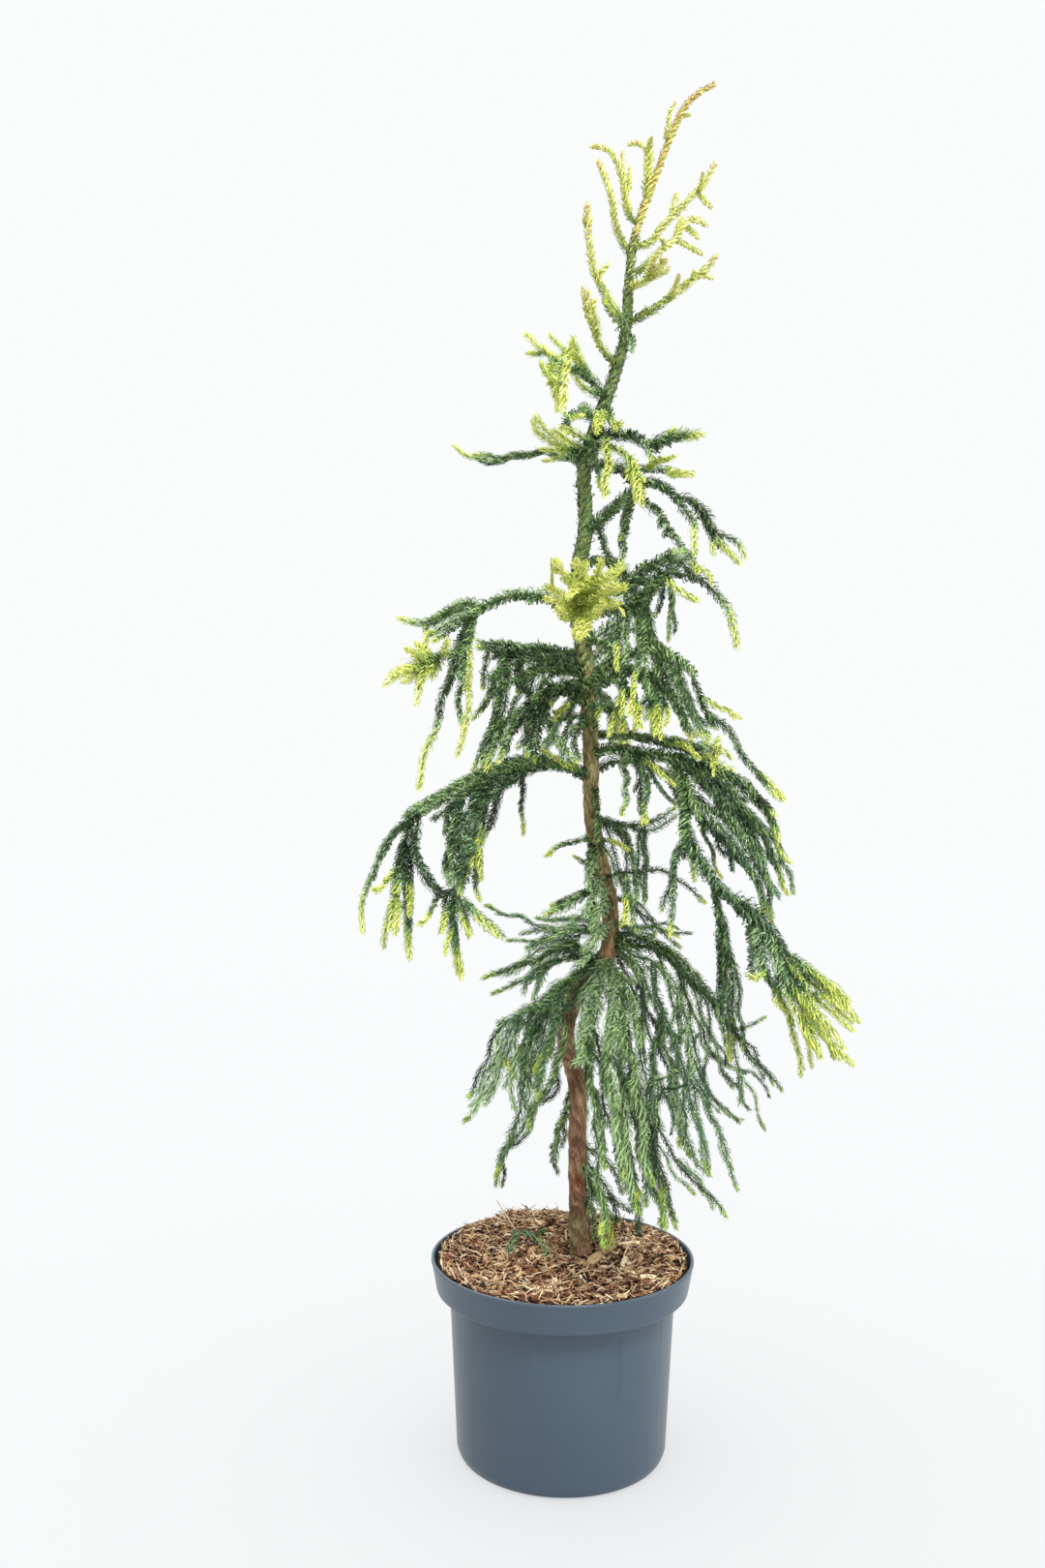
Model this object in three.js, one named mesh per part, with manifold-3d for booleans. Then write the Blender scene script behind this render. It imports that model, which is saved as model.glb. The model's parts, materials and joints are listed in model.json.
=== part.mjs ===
// A young weeping cryptomeria in a round nursery pot. Millimetres, +Z up.
// Origin: centre of the pot's flat underside, on the floor. +X to the right of the front view, +Y away from it.
//
// Every limb is worked out from a few named sizes: where it springs from its parent, how long it is,
// and its pitch (degrees above level) and swing (degrees round from +X) at evenly spaced stations.
// course() walks along those angles, and limb() skins the walk as one closed, tapering, uneven solid.
// A mass of foliage is the joined solid of the shoots that hang together, cut clear of what carries it.

import * as THREE from 'three';
import { mergeVertices } from 'three/addons/utils/BufferGeometryUtils.js';
import Module from 'manifold-3d';

const wasm = await Module();
wasm.setup();

// ---------------------------------------------------------------- driving sizes
const POT_HEIGHT = 165;
const RIM_RADIUS = 110.7;        // outside of the rim band, at the top
const BAND_FOOT = 139;           // underside of the rim band
const BODY_TOP_RADIUS = 95.5;    // body just under the band
const BASE_RADIUS = 88.5;
const WALL = 2.2;
const DRAIN_RADIUS = 5;
const DRAIN_CIRCLE = 66;
const POT_FACETS = 24;

const SOIL_TOP = 166;            // level of the mulch round the trunk
const SOIL_EDGE = 159.5;         // where the mulch meets the pot
const FOOT_FLAT = 34;            // radius of the level patch that the trunk stands on

const CLEAR = 0.45;              // how far a neighbour is grown before it is cut away
const SHOOT_STEP = 50;           // longest facet along a shoot

// Trunk: foot, length, and the pitch and swing of its twisting line
const FOOT = [15.8, 0, SOIL_TOP + 0.35];
const TRUNK_LENGTH = 1019.8;
const TRUNK_PITCH = [85, 87, 84, 93, 69, 81, 40, 93, 72, 79, 89, 88, 87, 78, 88, 77, 88, 73, 70, 73, 88, 84, 70, 69, 67, 18];
const TRUNK_SWING = [171, 141, 80, 174, 154, 370, 358, 330, 175, 204, 210, 190, 153, 172, 127, -20, 197, -17, 7, -3, -34, -31, -8, -10, -5, 0];
// radius at fractions of the length: root flare, stem, leader
const TRUNK_GIRTH = [[0, 12.5], [.012, 9.8], [.04, 7.9], [.1, 7.1], [.5, 6.8], [.62, 5.6], [.7, 4.8], [.8, 4.1], [.87, 3.3], [.95, 2.2], [1, 1.2]];
const TRUNK_SIDES = 6;
const TRUNK_RINGS = 32;

// Shoots: parent, fraction of the parent's length, own length, pitch, swing, half width with its needles
const SHOOTS = {
  a1: ['trunk', .87, 80, [15, 79, 62, -17], [-148, -119, -146, -174], 4.5],
  a2: ['trunk', .845, 101, [48, 75, 60], [138, 113, 149], 5],
  a3: ['trunk', .79, 105, [4, 64, 58, 76, 71], [-138, -153, -140, -108, -102], 5.5],
  a4: ['trunk', .905, 60, [39, 83, -3], [113, 90, 171], 4.5],
  a5: ['trunk', .945, 35, [-53, 116, 26], [-229, 86, -70], 3.5],
  a7: ['trunk', .755, 78, [18, 60], [-130, -112], 5],
  b1: ['trunk', .855, 96, [-45, 52, 34, 42, 61], [-44, -26, -29, -24, -42], 5],
  b2: ['trunk', .83, 105, [15, 48, 39, 60, -33], [63, 21, 34, 29, 22], 5],
  b2a: ['b2', .645, 39, [41, 45], [80, 67], 4],
  b4: ['trunk', .82, 60, [-14, 10], [-73, -52], 5],
  b3: ['trunk', .79, 94, [12, 38], [-39, -32], 5.5],
  c1: ['trunk', .73, 72, [7, 47], [-124, -115], 6],
  c1s: ['c1', .73, 37, [27, 50], [142, 151], 4],
  c2: ['c1', .475, 99, [19, 44], [116, 141], 5.5],
  c3: ['c1', .78, 76, [37, -79, -58, -73], [-135, -100, -105, -95], 5],
  c5: ['trunk', .67, 83, [40, 30, 57], [116, 138, 124], 5.5],
  c6b: ['trunk', .705, 106, [-31, -58], [-73, -107], 5.5],
  L0: ['trunk', .665, 126, [48, -17, 36], [151, 167, 164], 5],
  R1: ['trunk', .695, 78, [-7, -8, -71], [-53, -38, -74], 6.5],
  R1f: ['R1', .78, 47, [-10, 42, -24], [31, 20, 15], 5.5],
  R1b: ['trunk', .67, 108, [5, -2], [34, 20], 5.5],
  R1g: ['trunk', .69, 119, [-24, -16, -54, -45], [-76, -46, -83, -79], 5],
  R2: ['trunk', .615, 106, [27, 52, -55], [33, 23, 13], 6],
  R2a: ['R2', 1, 59, [-40, -79], [-29, -105], 5],
  R2b: ['R2', .985, 94, [20, -50, -42, -39], [35, 36, 33, 24], 5],
  R2c: ['R2', .595, 124, [-33, -49], [-66, -56], 5.5],
  R2d: ['R2', .545, 109, [-34, -49], [-100, -97], 5.5],
  R3: ['trunk', .555, 108, [9, 28], [-48, -33], 7.5],
  R3b: ['trunk', .545, 193, [7, 15, 50, -20, -52, -83], [34, 14, 20, 15, 17, 73], 7],
  R3d: ['R3', .765, 55, [-36, -29], [-66, -30], 4.5],
  R3e: ['R3b', .49, 64, [-43, -74], [69, 108], 5],
  G1: ['trunk', .545, 118, [4, 11], [-87, -87], 6],
  G2: ['G1', .37, 110, [8, 16], [-100, -109], 5],
  G3: ['G1', .54, 84, [10, 15], [-80, -67], 5],
  G4: ['G1', .49, 81, [-19, -27], [-87, -98], 5],
  L1: ['trunk', .535, 114, [46, -40], [-135, -159], 6.5],
  L1w: ['L1', .995, 149, [-62, -74], [-133, -150], 5.5],
  L1u: ['L1', .93, 75, [30, -43, 30], [159, 169, 168], 5.5],
  L1g: ['L1w', .24, 74, [-8, -35], [-138, -150], 4.5],
  L1i: ['L1g', .495, 34, [-69, -80], [-121, -118], 4],
  L1k: ['L1', .995, 113, [-72, -91, -67], [-147, -71, -195], 5],
  L2: ['trunk', .505, 121, [25, -4, 15], [113, 156, 145], 6],
  L2b: ['L2', .75, 68, [-64, -55], [-129, -161], 5],
  L2c: ['L2', .73, 114, [-65, -63], [101, 162], 5.5],
  L3: ['trunk', .47, 138, [39, -37, -65], [-137, -155, -117], 5.5],
  L3a: ['L3', .56, 71, [-27, -44], [-104, -108], 5],
  L3c: ['L3', .37, 83, [-47, -35], [-94, -42], 5.5],
  L4: ['trunk', .41, 170, [36, -23, -37], [-158, -169, -164], 6.5],
  L4t: ['L4', 1, 105, [-73, -81], [-145, -137], 5],
  L4a: ['L4', .965, 108, [-33, -86], [-156, -112], 4.5],
  L4c: ['L4t', .225, 89, [-65, -80], [-64, -85], 5],
  L4f: ['L4', .95, 136, [-66, -82, -24, -30, -56], [-103, -70, -6, -17, -14], 5.5],
  L4j: ['L4f', .61, 67, [-68, -71], [-95, -37], 4.5],
  L5: ['L4', .56, 118, [-39, -65], [-116, -94], 5.5],
  L5a: ['L4', .68, 85, [-69, -84], [145, 123], 5],
  L5b: ['L4', .545, 91, [-76, -80, -81], [127, 167, -38], 5],
  R4: ['trunk', .485, 117, [38, 18, -62], [-66, -20, -44], 6],
  R4w: ['R4', 1, 123, [-77, -43, -62, -30], [-38, -7, -14, -4], 5.5],
  R5u: ['trunk', .445, 140, [5, -29], [29, 13], 5.5],
  R5: ['trunk', .425, 149, [56, -15, 0, -29, -9, -49], [-41, -13, -16, -14, -13, -16], 6],
  D0: ['trunk', .505, 134, [6, 41, 4, -51], [77, 53, 39, 54], 7],
  D3: ['trunk', .485, 113, [26, -7, -48, -39], [-91, -45, -97, -98], 5.5],
  D4: ['D0', .9, 89, [-65, -78], [69, 119], 5],
  D8: ['trunk', .48, 136, [19, 17, -65], [75, 45, 76], 6.5],
  D9: ['D3', .37, 82, [49, -45, -66], [-61, -38, -148], 6],
  E1: ['R5', .205, 94, [-29, -37], [-83, -102], 5.5],
  E2: ['R5', .24, 86, [-27, -54], [-55, -112], 5.5],
  R6: ['R5', .475, 79, [-41, -70], [-54, -110], 6.5],
  R6b: ['R6', .935, 130, [-66, -43, -48], [18, 6, 8], 7.5],
  R6c: ['R6b', .745, 41, [-48, -63], [-112, -55], 7],
  F1: ['R6b', .995, 83, [-33, -49], [-7, -3], 4.5],
  F2: ['R6b', .995, 83, [-49, -35], [-54, -18], 4.5],
  F3: ['R6b', .995, 113, [-68, -44], [24, 5], 4.5],
  F5: ['R6b', .98, 99, [-79, -69, -80], [-155, -1, -67], 4.5],
  H1: ['R6b', .34, 164, [-64, -82], [50, 79], 5.5],
  Fc: ['R6', .525, 131, [-45, -44, -72], [33, 15, 34], 5.5],
  Fd: ['R6', .455, 174, [-21, -42, -75], [42, 32, 77], 5.5],
  Fe: ['R5', .73, 138, [-53, -32, -64, -56], [54, 18, 40, 29], 5.5],
  K1: ['R5', .29, 160, [-34, -60, -60], [55, 104, 83], 5.5],
  K2: ['K1', .49, 97, [-46, -64], [77, 91], 5],
  K3: ['trunk', .375, 98, [10, -18, 14, 29], [73, 24, 32, 26], 5.5],
  K4: ['K3', .235, 74, [-23, -53], [-58, -97], 5.5],
  K5: ['trunk', .325, 106, [29, 6, 6, -32, -42], [-92, -19, -35, -31, -43], 5.5],
  K6: ['trunk', .31, 106, [-10, -11, -45, -31, -41], [85, 27, 50, 33, 40], 5],
  K7: ['K5', .245, 76, [-20, -30], [-83, -92], 5],
  M1: ['trunk', .25, 126, [40, 13], [-140, -162], 3.5],
  M2: ['trunk', .25, 88, [42, -19], [163, 173], 3.5],
  M3: ['trunk', .25, 135, [9, 36, -18, -8, -13], [-123, -135, -144, -143, -146], 4],
  M4: ['trunk', .25, 106, [-1, 15, -42, -24, -27], [147, 158, 158, 161, 163], 4],
  N1: ['trunk', .25, 128, [5, -26, -2], [-129, -127, -141], 5.5],
  N1t: ['N1', .995, 86, [-65, -74, -40], [-125, -139, -170], 4.5],
  N1b: ['N1', .745, 100, [-36, -57, -52], [-108, -98, -69], 4.5],
  N2: ['trunk', .215, 199, [-50, -76, -57, -52, -78], [139, 97, 155, 157, 133], 5],
  P1: ['trunk', .255, 139, [-16, -36], [-99, -106], 6.5],
  P2: ['trunk', .255, 141, [-10, -30], [-81, -101], 6],
  P3: ['P2', .39, 171, [-37, -58], [-77, -83], 5.5],
  P4: ['P1', .505, 138, [-41, -58], [-102, -67], 4.5],
  P5: ['P2', .595, 162, [-51, -64, -60], [-131, -59, -58], 4.5],
  P6: ['P4', .695, 96, [-74, -76], [-88, -56], 4.5],
  Q1: ['trunk', .275, 134, [-26, 7, -39, -43, -48, -54], [-32, -17, -22, -23, -23, -26], 5.5],
  Q1t: ['Q1', 1, 70, [-48, -47], [35, 15], 4.5],
  Q2: ['trunk', .275, 133, [5, -41, -42], [39, 29, 31], 5.5],
  Q3: ['trunk', .265, 164, [12, -42, -56], [-46, -56, -108], 5],
  Q3t: ['Q3', 1, 90, [-52, -78], [-26, -22], 4.5],
  Q4: ['trunk', .265, 164, [-9, -35, -48], [64, 68, 92], 5],
  Q5: ['Q3', .32, 182, [-40, -47, -57, -55, -59], [-112, -50, -77, -61, -79], 5],
  Q6: ['Q2', .625, 189, [-57, -65, -65, -23, -72, -58], [54, 40, 35, 11, 33, 25], 4.5],
  Q9: ['Q5', .255, 175, [-58, -80, -48, -42], [-125, -100, -17, -23], 4.5],
  Q11: ['Q9', .38, 112, [-27, -53, -45], [-112, -90, -51], 4.5],
  L2x: ['trunk', .495, 113, [10, 8, -23], [108, 126, 124], 6.5],
  D10: ['D0', .965, 108, [-48, -54], [-70, -41], 5.5],
  D12: ['R4', .82, 77, [-52, -58], [75, 32], 5.5],
  Fh: ['R5', .525, 136, [-29, -44], [48, 29], 5.5],
  N1c: ['N1', .325, 121, [-26, -51], [-113, -101], 5.5],
  N1d: ['N1', .445, 73, [-51, -74], [-149, -141], 5.5],
  P9: ['trunk', .07, 110, [-36, -53], [61, 56], 5],
  P11: ['trunk', .075, 66, [-10, -70], [-50, -76], 5],
  Q14: ['Q3', .73, 113, [-48, -85, -67, -80, -74], [-224, -15, -5, -21, -11], 5],
  Q15: ['Q2', .71, 105, [-65, -68], [-25, -17], 5],
  X1: ['trunk', .59, 168, [1, 13, -27, -31, -42], [76, 57, 61, 71, 80], 5.5],
  X2: ['trunk', .595, 175, [-9, -36, -38], [86, 87, 74], 5.5],
  X8: ['trunk', .41, 261, [28, -11, -54, -49], [68, 40, 71, 67], 6],
  X10: ['trunk', .41, 234, [21, -8, -53, -59], [114, 146, 120, 101], 6],
  X14: ['trunk', .265, 303, [-29, -55, -58], [58, 64, 67], 5.5],
};

// Boughs: bare stretches of the main limbs
const BOUGHS = {
  bough_right_high: ['R2', 0, .495],
  bough_left_high: ['L1', 0, .925],
  bough_left_low: ['L4', 0, .395],
  bough_right_mid: ['R4', 0, .795],
  bough_right_low: ['R5', 0, .495],
  bough_right_drop: ['R6', 0, 1],
  bough_skirt_left: ['N1', 0, .715],
  bough_skirt_right: ['Q1', 0, .895],
};

// Masses: each begins with its leading shoot. A name with + springs from the leading shoot's foot, and
// [name, from, to] is a stretch of a shoot.
const MASSES = {
  mass_top_left: ['a1', '+a2'],
  mass_top_right: ['a4', '+a5'],
  mass_shoulder_left: ['a3', '+a7'],
  mass_shoulder_right: ['b2', '+b1', 'b2a'],
  mass_gold_right: ['b3', '+b4'],
  mass_high_left: ['c1', 'c1s', 'c2', 'c3'],
  mass_high_right: ['R1', '+R1g', 'R1f', '+R1b'],
  mass_high_front: ['c6b'],
  mass_high_arms: ['L0', '+c5'],
  mass_right_high_tips: [['R2', .64, 1], 'R2a', 'R2b'],
  mass_right_high_inner: [['R2', .5, .636], 'R2c', 'R2d'],
  mass_right_band: ['R3', 'R3d'],
  mass_front_gold: ['G1', 'G2', 'G3', 'G4'],
  mass_right_band_low: ['R3b', 'R3e'],
  mass_left_high_drop: [['L1', .93, 1], 'L1w', 'L1u', 'L1k'],
  mass_left_high_gold: ['L1g', 'L1i'],
  mass_left_mid_drop: ['L2', 'L2b', 'L2c'],
  mass_left_mid_front: ['L3', 'L3a', 'L3c'],
  mass_left_low_outer: [['L4', .705, 1], 'L4a', 'L4t', 'L4c'],
  mass_left_low_drop: [['L4', .4, .7], 'L5', 'L5a', 'L5b'],
  mass_left_low_inner: ['L4f', 'L4j'],
  mass_right_mid_drop: [['R4', .8, 1], 'R4w', 'D12'],
  mass_right_mid_arm: ['R5u'],
  mass_right_mid_tips: [['R5', .5, 1], 'Fe', 'Fh'],
  mass_inner_front: ['D3', 'D9'],
  mass_inner_back: ['D0', 'D4', 'D10', '+D8'],
  mass_inner_far: ['L2x'],
  mass_centre_arm: ['K3', 'K4'],
  mass_right_low_front: ['E2', '+E1'],
  mass_centre_back_drop: ['K1', 'K2'],
  mass_right_low_arm: ['R6b', 'R6c', 'H1'],
  mass_right_gold_fan: ['F3', '+F1', '+F2', '+F5'],
  mass_right_low_fan: ['Fd', '+Fc'],
  mass_centre_arm_low: ['K5', 'K7', '+K6'],
  mass_skirt_left_thin: ['M3', '+M1', '+M2', '+M4'],
  mass_skirt_front: ['P1', 'P4', 'P6'],
  mass_skirt_front_long: ['P2', 'P3', 'P5'],
  mass_skirt_left_outer: [['N1', .72, 1], 'N1t', 'N1b'],
  mass_skirt_left_mid: ['N1c', '+N1d'],
  mass_skirt_left_back: ['N2'],
  mass_skirt_right_tips: [['Q1', .9, 1], 'Q1t'],
  mass_skirt_right_arm: ['Q2', 'Q15', 'Q6'],
  mass_skirt_right_mid: ['Q3', 'Q3t', 'Q14'],
  mass_skirt_right_front: ['Q5', 'Q9', 'Q11'],
  mass_skirt_back: ['Q4', '+X14'],
  mass_skirt_foot: ['P9', '+P11'],
  mass_back_high: ['X1', '+X2'],
  mass_back_low: ['X8', '+X10'],
};

// ---------------------------------------------------------------- geometry helpers
const rad = THREE.MathUtils.degToRad;

/** Value of evenly spaced stations at fraction t. */
function station(values, t) {
  const x = Math.min(Math.max(t, 0), 1) * (values.length - 1);
  const i = Math.min(Math.floor(x), values.length - 2);
  return values[i] + (values[i + 1] - values[i]) * (x - i);
}

/** Value of a [fraction, value] table at fraction t. */
function table(rows, t) {
  let i = 0;
  while (i < rows.length - 2 && rows[i + 1][0] < t) i++;
  const [a, b] = [rows[i], rows[i + 1]];
  return a[1] + (b[1] - a[1]) * Math.min(Math.max((t - a[0]) / (b[0] - a[0]), 0), 1);
}

/** The line that starts at base and follows pitch and swing for the given length. */
function course(base, length, pitch, swing, steps) {
  const points = [base.clone()];
  for (let i = 0; i < steps; i++) {
    const t = (i + 0.5) / steps;
    const p = rad(station(pitch, t));
    const s = rad(station(swing, t));
    const step = new THREE.Vector3(Math.cos(p) * Math.cos(s), Math.cos(p) * Math.sin(s), Math.sin(p));
    points.push(points[i].clone().addScaledVector(step, length / steps));
  }
  return points;
}

function along(path, t) {
  const x = Math.min(Math.max(t, 0), 1) * (path.length - 1);
  const i = Math.min(Math.floor(x), path.length - 2);
  return path[i].clone().lerp(path[i + 1], x - i);
}

/** A repeatable unevenness between -1 and 1. */
function wave(seed, a, b) {
  return 0.6 * Math.sin(a * 2.7 + seed * 1.93) + 0.4 * Math.sin(b * 1.9 - seed * 0.71 + a);
}

/** Closed skin of rings round a line from fraction `from` to `to`, with a flat start and a blunt pointed end. */
function limb(path, from, to, rings, sides, radius, options = {}) {
  const { seed = 0, rough = 0, extend = 0, levelStart = false } = options;
  const centres = [];
  for (let i = 0; i <= rings; i++) centres.push(along(path, from + (to - from) * (i / rings)));
  const tangent = (i) => centres[Math.min(i + 1, rings)].clone().sub(centres[Math.max(i - 1, 0)]).normalize();
  const first = levelStart ? new THREE.Vector3(0, 0, 1) : tangent(0);
  const last = tangent(rings);
  if (extend) {
    centres[0].addScaledVector(first, -extend);
    centres[rings].addScaledVector(last, extend);
  }
  const positions = [];
  let side = new THREE.Vector3(1, 0, 0);
  if (Math.abs(first.x) > 0.9) side.set(0, 1, 0);
  for (let i = 0; i <= rings; i++) {
    const t = i === 0 ? first : tangent(i);
    side.addScaledVector(t, -side.dot(t)).normalize();
    const up = new THREE.Vector3().crossVectors(t, side);
    for (let k = 0; k < sides; k++) {
      const angle = (k / sides) * 2 * Math.PI;
      const r = radius(i / rings, angle) * (1 + rough * wave(seed, i * 1.3, k * 1.7)) + extend;
      const v = centres[i].clone().addScaledVector(side, r * Math.cos(angle)).addScaledVector(up, r * Math.sin(angle));
      positions.push(v.x, v.y, v.z);
    }
  }
  const start = positions.length / 3;
  positions.push(...centres[0].toArray());
  const end = start + 1;
  const tip = centres[rings].clone().addScaledVector(last, radius(1, 0) * 0.8);
  positions.push(tip.x, tip.y, tip.z);
  const index = [];
  for (let k = 0; k < sides; k++) {
    const n = (k + 1) % sides;
    index.push(start, n, k);
    for (let i = 0; i < rings; i++) {
      const [a, b, c, d] = [i * sides + k, i * sides + n, (i + 1) * sides + n, (i + 1) * sides + k];
      index.push(a, b, c, a, c, d);
    }
    index.push(end, rings * sides + k, rings * sides + n);
  }
  const geometry = new THREE.BufferGeometry();
  geometry.setAttribute('position', new THREE.Float32BufferAttribute(positions, 3));
  geometry.setIndex(index);
  return geometry;
}

/** A three.js geometry as a solid with its faces pointing out. */
function solid(geometry) {
  const bare = geometry.clone();
  bare.deleteAttribute('normal');
  bare.deleteAttribute('uv');
  const merged = mergeVertices(bare, 1e-4);
  const p = merged.attributes.position.array;
  const raw = merged.index.array;
  let tris = [];
  for (let i = 0; i < raw.length; i += 3) {
    const [a, b, c] = [raw[i], raw[i + 1], raw[i + 2]];
    if (a !== b && b !== c && c !== a) tris.push([a, b, c]);
  }
  let six = 0;
  for (const [a, b, c] of tris) {
    const [A, B, C] = [a, b, c].map((v) => new THREE.Vector3(p[3 * v], p[3 * v + 1], p[3 * v + 2]));
    six += A.dot(B.cross(C));
  }
  if (six < 0) tris = tris.map(([a, b, c]) => [a, c, b]);
  return new wasm.Manifold(new wasm.Mesh({
    numProp: 3,
    vertProperties: Float32Array.from(p),
    triVerts: Uint32Array.from(tris.flat()),
  }));
}

function geometryOf(manifold) {
  const mesh = manifold.getMesh();
  const geometry = new THREE.BufferGeometry();
  geometry.setAttribute('position', new THREE.BufferAttribute(Float32Array.from(mesh.vertProperties), 3));
  geometry.setIndex(new THREE.BufferAttribute(Uint32Array.from(mesh.triVerts), 1));
  geometry.computeVertexNormals();
  return geometry;
}

function meets(a, b) {
  const [p, q] = [a.boundingBox(), b.boundingBox()];
  for (let i = 0; i < 3; i++) if (p.max[i] < q.min[i] || q.max[i] < p.min[i]) return false;
  return true;
}

/** The body less every cutter that reaches it, as its one largest piece. */
function cutClear(body, cutters) {
  let result = body;
  for (const cutter of cutters) if (meets(result, cutter)) result = result.subtract(cutter);
  return result.decompose().reduce((best, piece) => (piece.volume() > best.volume() ? piece : best));
}

// ---------------------------------------------------------------- materials
const finish = (color, roughness) => new THREE.MeshStandardMaterial({ color, roughness, metalness: 0 });
const potPlastic = finish('#4f5d68', 0.42);
const mulch = finish('#8f6b4a', 0.95);
const bark = finish('#7d563f', 0.9);
const darkNeedles = finish('#2f5a45', 0.6);
const greyNeedles = finish('#547f58', 0.6);
const goldNeedles = finish('#c3cc57', 0.6);

const plant = new THREE.Group();
function add(name, geometry, material) {
  const mesh = new THREE.Mesh(geometry, material);
  mesh.name = name;
  plant.add(mesh);
}

// ---------------------------------------------------------------- pot
// Thin-walled, with a rounded foot, a tapering body and a rim band that steps out over it
const profile = [
  [0, 0], [80, 0], [86.4, 1.8], [BASE_RADIUS, 7], [94, 116], [BODY_TOP_RADIUS, BAND_FOOT - 1.5],
  [106, BAND_FOOT], [RIM_RADIUS, POT_HEIGHT - 3], [RIM_RADIUS, POT_HEIGHT],
  [RIM_RADIUS - 2.2, POT_HEIGHT], [106.3 - WALL, BAND_FOOT + 2.6],
  [BODY_TOP_RADIUS - WALL, BAND_FOOT + 0.4], [BASE_RADIUS - WALL, 8.2], [79.6, 2.6], [0, 2.6],
].map(([r, z]) => new THREE.Vector2(r, z));
const potShell = solid(new THREE.LatheGeometry(profile, POT_FACETS).rotateX(Math.PI / 2));
let pot = potShell;
for (let i = 0; i < 4; i++) {
  const angle = rad(45 + 90 * i);
  const drain = new THREE.CylinderGeometry(DRAIN_RADIUS, DRAIN_RADIUS, 8, 8).rotateX(Math.PI / 2)
    .translate(DRAIN_CIRCLE * Math.cos(angle), DRAIN_CIRCLE * Math.sin(angle), 1.5);
  pot = pot.subtract(solid(drain));
}
add('pot', geometryOf(pot), potPlastic);

// ---------------------------------------------------------------- soil and mulch
function heapSkin(extend) {
  const fill = [
    [0, 3], [78.8, 3], [85.4, 8.6], [BODY_TOP_RADIUS - WALL - 0.7, BAND_FOOT + 0.6],
    [103.2, BAND_FOOT + 3.6], [105.4, SOIL_EDGE - 1.5], [103.4, SOIL_EDGE], [86, 162.6], [62, 164.8], [FOOT_FLAT, SOIL_TOP], [0, SOIL_TOP],
  ].map(([r, z]) => new THREE.Vector2(r, z > BAND_FOOT + 10 ? z + extend : z));
  const heap = new THREE.LatheGeometry(fill, POT_FACETS / 2).rotateX(Math.PI / 2);
  const at = heap.attributes.position;
  for (let i = 0; i < at.count; i++) {
    const [x, y, z] = [at.getX(i), at.getY(i), at.getZ(i)];
    const r = Math.hypot(x, y);
    if (z > 162 && r > FOOT_FLAT + 5) at.setZ(i, z + 1.1 * wave(3, x / 21, y / 17) + 0.02 * Math.max(0, y));
  }
  return heap;
}
const soil = solid(heapSkin(0));
add('soil', geometryOf(soil), mulch);

// ---------------------------------------------------------------- lines of the trunk and shoots
const lines = { trunk: course(new THREE.Vector3(...FOOT), TRUNK_LENGTH, TRUNK_PITCH, TRUNK_SWING, 84) };
for (const [name, [parent, at, length, pitch, swing]] of Object.entries(SHOOTS)) {
  lines[name] = course(along(lines[parent], at), length, pitch, swing, 24);
}
const boughGirth = (name, t) => SHOOTS[name][5] * (0.78 - 0.3 * t);

// ---------------------------------------------------------------- trunk
const lobes = (t, angle) => (t < 0.06 ? 1 + 0.14 * (1 - t / 0.06) * Math.cos(3 * angle + 0.6) : 1);
const trunkSkin = (extend) => limb(lines.trunk, 0, 1, TRUNK_RINGS, TRUNK_SIDES,
  (t, angle) => table(TRUNK_GIRTH, t) * lobes(t, angle), { seed: 1, rough: 0.03, extend, levelStart: true });
add('trunk', geometryOf(solid(trunkSkin(0))), bark);
const cutters = [solid(heapSkin(CLEAR)), solid(trunkSkin(CLEAR))];

// ---------------------------------------------------------------- boughs
let seed = 2;
const boughSkin = (name, from, to, extend) => limb(lines[name], from, to,
  Math.max(3, Math.round(SHOOTS[name][2] * (to - from) / 22)), 5,
  (t) => boughGirth(name, from + (to - from) * t), { seed, rough: 0.03, extend });
for (const [node, [name, from, to]] of Object.entries(BOUGHS)) {
  add(node, geometryOf(cutClear(solid(boughSkin(name, from, to, 0)), cutters)), bark);
  cutters.push(solid(boughSkin(name, from, to, CLEAR)));
  seed++;
}

// ---------------------------------------------------------------- masses of foliage
/** Fraction of a shoot at which its square end stands clear of the round stem that it springs from. */
function departure(name) {
  const [parent, at, , , , half] = SHOOTS[name];
  if (at > 0.96) return 0;
  const line = lines[name];
  const stem = along(lines[parent], at);
  const axis = along(lines[parent], at + 0.02).sub(along(lines[parent], at - 0.02)).normalize();
  const stemRadius = parent === 'trunk' ? table(TRUNK_GIRTH, at) * 1.05 : boughGirth(parent, at);
  for (let t = 0; t < 0.3; t += 0.01) {
    const out = along(line, t).sub(stem);
    out.addScaledVector(axis, -out.dot(axis));
    const distance = out.length();
    const heading = along(line, t + 0.03).sub(along(line, t)).normalize();
    const square = distance > 0 ? heading.dot(out.divideScalar(distance)) : 0;
    if (distance > stemRadius + CLEAR + 1.15 * half * Math.sqrt(Math.max(0, 1 - square * square))) return t;
  }
  return 0;
}

function shootSkin(path, half, length, from, to, sides, extend) {
  const rings = Math.max(2, Math.round(length * (to - from) / SHOOT_STEP));
  return limb(path, from, to, rings, sides, (t) => half * (1.2 - 0.6 * (from + (to - from) * t) ** 1.6), { seed, rough: 0.1, extend });
}

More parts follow.
